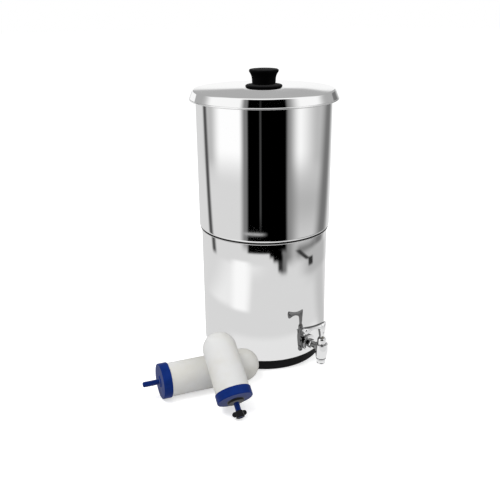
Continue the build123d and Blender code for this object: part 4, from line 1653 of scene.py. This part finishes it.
@dataclass
class Studio:
    """Camera, floor, lamps and what stands round the filter.

    Attributes:
        view_bearing: The camera's side of the filter, in degrees from the tap's.
        distance_m: From the filter's axis to the camera.
        height_m: The camera's height.
        aside_m: The camera's place to the right of the axis.
        pitch: The camera's look downwards, in degrees.
        roll: Its lean, in degrees.
        lens: Focal length.
        sensor: Width of the sensor.
        floor_m: Radius of the floor.
        floor_drop_m: How far it lies under the filter's foot.
        cloth: Brightness of the floor's cloth.
        glow: Light that the floor adds where the camera sees it.
        even: Brightness of the room as a light.
        near_floor: Brightness of the floor near the filter, in reflections.
        far_floor: Brightness far out.
        spread_m: Where the one gives way to the other.
        room: Brightness of the room over the horizon.
        backdrop: The darker room behind, over the lid.
        backdrop_foot: Elevation at which it starts.
        backdrop_edge: How softly it starts there, in degrees.
        backdrop_step: How much higher it starts away from its middle.
        backdrop_dip: Degrees from its middle between which it steps up.
        backdrop_head: Elevations between which it ends.
        top_fade: Over how many degrees a card fades out at its top.
        second_share: What is left of the light after two reflections.
        aim_m: Height that the lamps are aimed at.
        lamp_reach_m: From there to the lamps.
        lamps: The lamps.
        cards: What the steel reflects.
    """

    view_bearing: float = -42.6
    distance_m: float = 1.202
    height_m: float = 0.6424
    aside_m: float = -0.0266
    pitch: float = 20.53
    roll: float = 0.60
    lens: float = 49.68
    sensor: float = 36.0
    floor_m: float = 12.0
    floor_drop_m: float = 0.0002
    cloth: float = 0.80
    glow: float = 0.55
    even: float = 0.62
    near_floor: float = 0.70
    far_floor: float = 1.04
    spread_m: Point = (1.35, 2.0)
    room: float = 0.975
    backdrop: Card = Card(180, 62, 26, 0.415)
    backdrop_foot: float = 7.2
    backdrop_edge: float = 0.4
    backdrop_step: float = 0.35
    backdrop_dip: Point = (4.3, 6.6)
    backdrop_head: Point = (40.0, 60.0)
    top_fade: float = 8.0
    second_share: float = 0.2
    aim_m: float = 0.2
    lamp_reach_m: float = 2.0
    lamps: tuple[Lamp, ...] = (
        Lamp("key_lamp", 55, 58, 1.2, 22.0),
        Lamp("fill_lamp", -70, 50, 1.4, 9.0),
    )
    cards: tuple[Card, ...] = (
        Card(-155, 24, 34, 0.74),
        Card(148, 26, 16, 0.70),
        Card(-84, 38, 22, 0.42, near_m=0.5, far_m=1.0, fade_m=0.8),
        Card(-76, 14, 16, 0.20, near_m=0.6, far_m=0.7, fade_m=0.1),
        Card(-104, 4, 50, 0.50, near_m=1.0, fade_m=0.8, top=14),
        Card(-141, 3, 27, 0.18, near_m=0.42, drift=24, top=14),
        Card(103, 2, 26, 0.50, near_m=1.3, fade_m=0.5, top=14),
        Card(121, 1.2, 8, 0.08, near_m=0.625, fade_m=0.05, drift=-15.5, top=14),
        Card(-5.5, 4, 52, 0.86, near_m=0.335, far_m=0.60, fade_m=0.05, drift=29),
        Card(41, 5, 18, 0.99, near_m=0.34, far_m=0.63, fade_m=0.03),
        Card(-112, 4, 26, 0.55, far_m=0.66, fade_m=0.06),
        Card(-102, 14, 36, 0.46, near_m=0.49, far_m=0.66, fade_m=0.06),
        Card(96.7, 1.5, 6, 0.04, near_m=0.61, far_m=0.70, fade_m=0.02, drift=-109),
        Card(-85, 3, 5, 0.03, near_m=0.56, far_m=0.62, fade_m=0.02),
        Card(-5, 20, 12, 0.70, far_m=0.5, fade_m=0.12),
        Card(-20, 60, 20, 0.80, far_m=0.22, fade_m=0.04),
        Card(32, 0, 11, 0.20, near_m=0.70, fade_m=0.1, top=38),
        Card(-36, 0, 26, 0.22, near_m=0.58, fade_m=0.1, top=38),
        Card(-3.5, 29.5, 6, 0.0, near_m=0.70, fade_m=0.02, top=38),
        Card(-31, 1.5, 8, 0.18, near_m=0.54, far_m=0.70, fade_m=0.05),
        Card(-25.5, 1.5, 5, 0.03, near_m=0.56, far_m=0.68, fade_m=0.04),
        Card(-21, 5, 5, 0.0, near_m=0.63, far_m=0.72, fade_m=0.04),
        Card(-14, 4, 5, 0.0, near_m=0.66, far_m=0.72, fade_m=0.04),
        Card(18, 8, 16, 0.45, near_m=0.85, far_m=0.872, fade_m=0.02),
        Card(7, 0.2, 2.4, 0.05, near_m=0.8, top=30),
    )

    def __post_init__(self) -> None:
        """Works out the directions to the camera's right and towards it."""
        angle = radians(self.view_bearing)
        self.right = Vector((cos(angle), sin(angle), 0))
        self.towards = Vector((sin(angle), -cos(angle), 0))

    def place(self, name: str, data: bpy.types.ID) -> Piece:
        """Puts a camera or a lamp into the scene.

        Args:
            name: The object's name.
            data: The camera or lamp.

        Returns:
            The new object.
        """
        made = bpy.data.objects.new(name, data)
        bpy.context.scene.collection.objects.link(made)
        return made

    def build_camera(self) -> None:
        """The camera."""
        data = bpy.data.cameras.new("camera")
        data.lens = self.lens
        data.sensor_width = self.sensor
        camera = self.place("camera", data)
        pitch, roll = radians(self.pitch), radians(self.roll)
        back = self.towards * cos(pitch) + UP * sin(pitch)
        level = back.cross(self.right)
        right = self.right * cos(roll) - level * sin(roll)
        up = level * cos(roll) + self.right * sin(roll)
        spot = self.right * self.aside_m + self.towards * self.distance_m + UP * self.height_m
        turn = Matrix((right, up, back)).transposed().to_4x4()
        camera.matrix_world = Matrix.Translation(spot) @ turn
        bpy.context.scene.camera = camera

    def bearing(self, graph: Graph, way: Socket) -> Term:
        """Bearing of a place or a direction round the filter, in degrees.

        Args:
            graph: The graph it belongs to.
            way: A place from the filter's foot, or a direction.

        Returns:
            The bearing.
        """
        front = graph.measure("DOT_PRODUCT", way, self.towards)
        left = graph.measure("DOT_PRODUCT", way, -self.right)
        return left.maths("ARCTAN2", left, front) * degrees(1.0)

    def beside(self, bearing: Term, card: Card) -> Term:
        """How fully a card covers a bearing, from 0 to 1.

        Args:
            bearing: The bearing.
            card: The card.

        Returns:
            The cover.
        """
        away = bearing - card.bearing
        turned = away.maths("WRAP", away, 180.0, -180.0)
        return 1.0 - turned.size().rise(card.half, card.half + card.soft)

    def dimmed(self, graph: Graph, colour: object, depth: int) -> Socket:
        """A reflected colour, with less of it left where it was reflected before.

        Args:
            graph: The graph it belongs to.
            colour: The colour.
            depth: The ray depth that its first reflection has.

        Returns:
            The dimmed colour.
        """
        bounces = graph.term("LightPath", {}, "Ray Depth")
        again = bounces.rise(depth + 0.4, depth + 0.6) * (1.0 - self.second_share)
        return graph.blend(again, colour, grey(0.0))

    def reflected_floor(self, graph: Graph) -> Socket:
        """What polished steel sees of the floor.

        Args:
            graph: The floor's graph.

        Returns:
            The colour.
        """
        place = graph.node("TexCoord").outputs["Object"]
        reach = graph.measure("LENGTH", place)
        bearing = self.bearing(graph, place)
        outer = reach.rise(*self.spread_m)
        colour = graph.blend(outer, grey(self.near_floor), grey(self.far_floor))
        for card in self.cards:
            turned = bearing - card.drift / reach if card.drift else bearing
            cover = self.beside(turned, card) * reach.rise(card.near_m, card.near_m + card.fade_m)
            cover = cover * (1.0 - reach.rise(card.far_m, card.far_m + card.fade_m))
            colour = graph.blend(cover, colour, grey(card.level))
        return self.dimmed(graph, colour, 1)

    def reflected_room(self, graph: Graph) -> Socket:
        """What polished steel sees above the horizon.

        Args:
            graph: The world's graph.

        Returns:
            The colour.
        """
        way = graph.node("TexCoord").outputs["Generated"]
        rise = graph.term("SeparateXYZ", {0: way}, 2)
        elevation = rise.maths("ARCSINE", rise) * degrees(1.0)
        bearing = self.bearing(graph, way)
        colour: object = grey(self.room)
        for card in self.cards:
            if card.top:
                over = elevation.rise(card.top, card.top + self.top_fade)
                cover = self.beside(bearing, card) * (1.0 - over)
                colour = graph.blend(cover, colour, grey(card.level))
        from_back = self.backdrop.bearing - bearing.size()
        foot = from_back.rise(*self.backdrop_dip) * self.backdrop_step + self.backdrop_foot
        above = elevation.rise(foot, foot + self.backdrop_edge)
        cover = self.beside(bearing, self.backdrop) * above
        cover = cover * (1.0 - elevation.rise(*self.backdrop_head))
        return self.dimmed(graph, graph.blend(cover, colour, grey(self.backdrop.level)), 2)

    def by_ray(self, graph: Graph, plain: Socket, seen: Socket, mirrored: Socket) -> Socket:
        """Shows one shader to the camera, one to reflections and a plain one to all else.

        Args:
            graph: The graph they belong to.
            plain: The shader for all else.
            seen: The camera's shader.
            mirrored: The reflections' shader.

        Returns:
            The mixed shader.
        """
        rays = graph.node("LightPath").outputs
        for ray, shader in (("Is Camera Ray", seen), ("Is Glossy Ray", mirrored)):
            plain = graph.node("MixShader", {0: rays[ray], 1: plain, 2: shader}).outputs[0]
        return plain

    def build_floor(self) -> None:
        """The floor: white with soft shadows, and in reflections what stands round it."""
        floor = disc("studio_floor", 96, self.floor_m)
        with editing(floor):
            bpy.ops.transform.translate(value=-UP * self.floor_drop_m)
        made, graph = new_material("studio_floor")
        cloth = graph.node("BsdfDiffuse", {"Color": grey(self.cloth)}).outputs[0]
        glow = graph.node("Emission", {"Color": grey(1.0), "Strength": self.glow}).outputs[0]
        lit = graph.node("AddShader", {0: cloth, 1: glow}).outputs[0]
        mirrored = graph.node("Emission", {"Color": self.reflected_floor(graph)}).outputs[0]
        graph.node("OutputMaterial", {"Surface": self.by_ray(graph, cloth, lit, mirrored)})
        floor.data.materials.append(made)
        floor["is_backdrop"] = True

    def build_world(self) -> None:
        """The room: even light, with white for the camera and the cards for reflections."""
        world = bpy.data.worlds.new("studio_room")
        bpy.context.scene.world = world
        world.use_nodes = True
        graph = Graph(world.node_tree)
        even, white, room = (
            graph.node("Background", {"Color": colour, "Strength": strength}).outputs[0]
            for colour, strength in (
                (grey(1.0), self.even), (grey(1.0), 1.0), (self.reflected_room(graph), 1.0)
            )
        )
        graph.node("OutputWorld", {"Surface": self.by_ray(graph, even, white, room)})

    def build_lamp(self, lamp: Lamp) -> None:
        """A lamp on a sphere round the filter, aimed at its middle.

        Args:
            lamp: Where the lamp stands, and how it shines.
        """
        data = bpy.data.lights.new(lamp.name, "AREA")
        data.shape = "DISK"
        data.size = lamp.size_m
        data.energy = lamp.watts
        made = self.place(lamp.name, data)
        bearing, elevation = radians(lamp.bearing), radians(lamp.elevation)
        level = self.towards * cos(bearing) - self.right * sin(bearing)
        away = level * cos(elevation) + UP * sin(elevation)
        made.location = UP * self.aim_m + away * self.lamp_reach_m
        made.rotation_euler = away.to_track_quat("Z", "Y").to_euler()
        made.visible_glossy = False

    def build(self) -> None:
        """The whole studio."""
        self.build_camera()
        self.build_floor()
        self.build_world()
        for lamp in self.lamps:
            self.build_lamp(lamp)
        bpy.context.scene.view_settings.view_transform = "Standard"


def main() -> None:
    """Builds every sub-assembly round the frame, then the studio."""
    logging.basicConfig(level=logging.INFO, format="%(name)s: %(message)s")
    dress_nodes()
    for assembly in (Chambers(), Lid(), Tap(), Elements(), BlankingPlugs(), Studio()):
        assembly.build()
    sizes = {"cad": cad_bounds, "visual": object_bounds()}
    lists = {key: [list(corner) for corner in box] for key, box in sizes.items()}


if __name__ == "__main__":
    main()
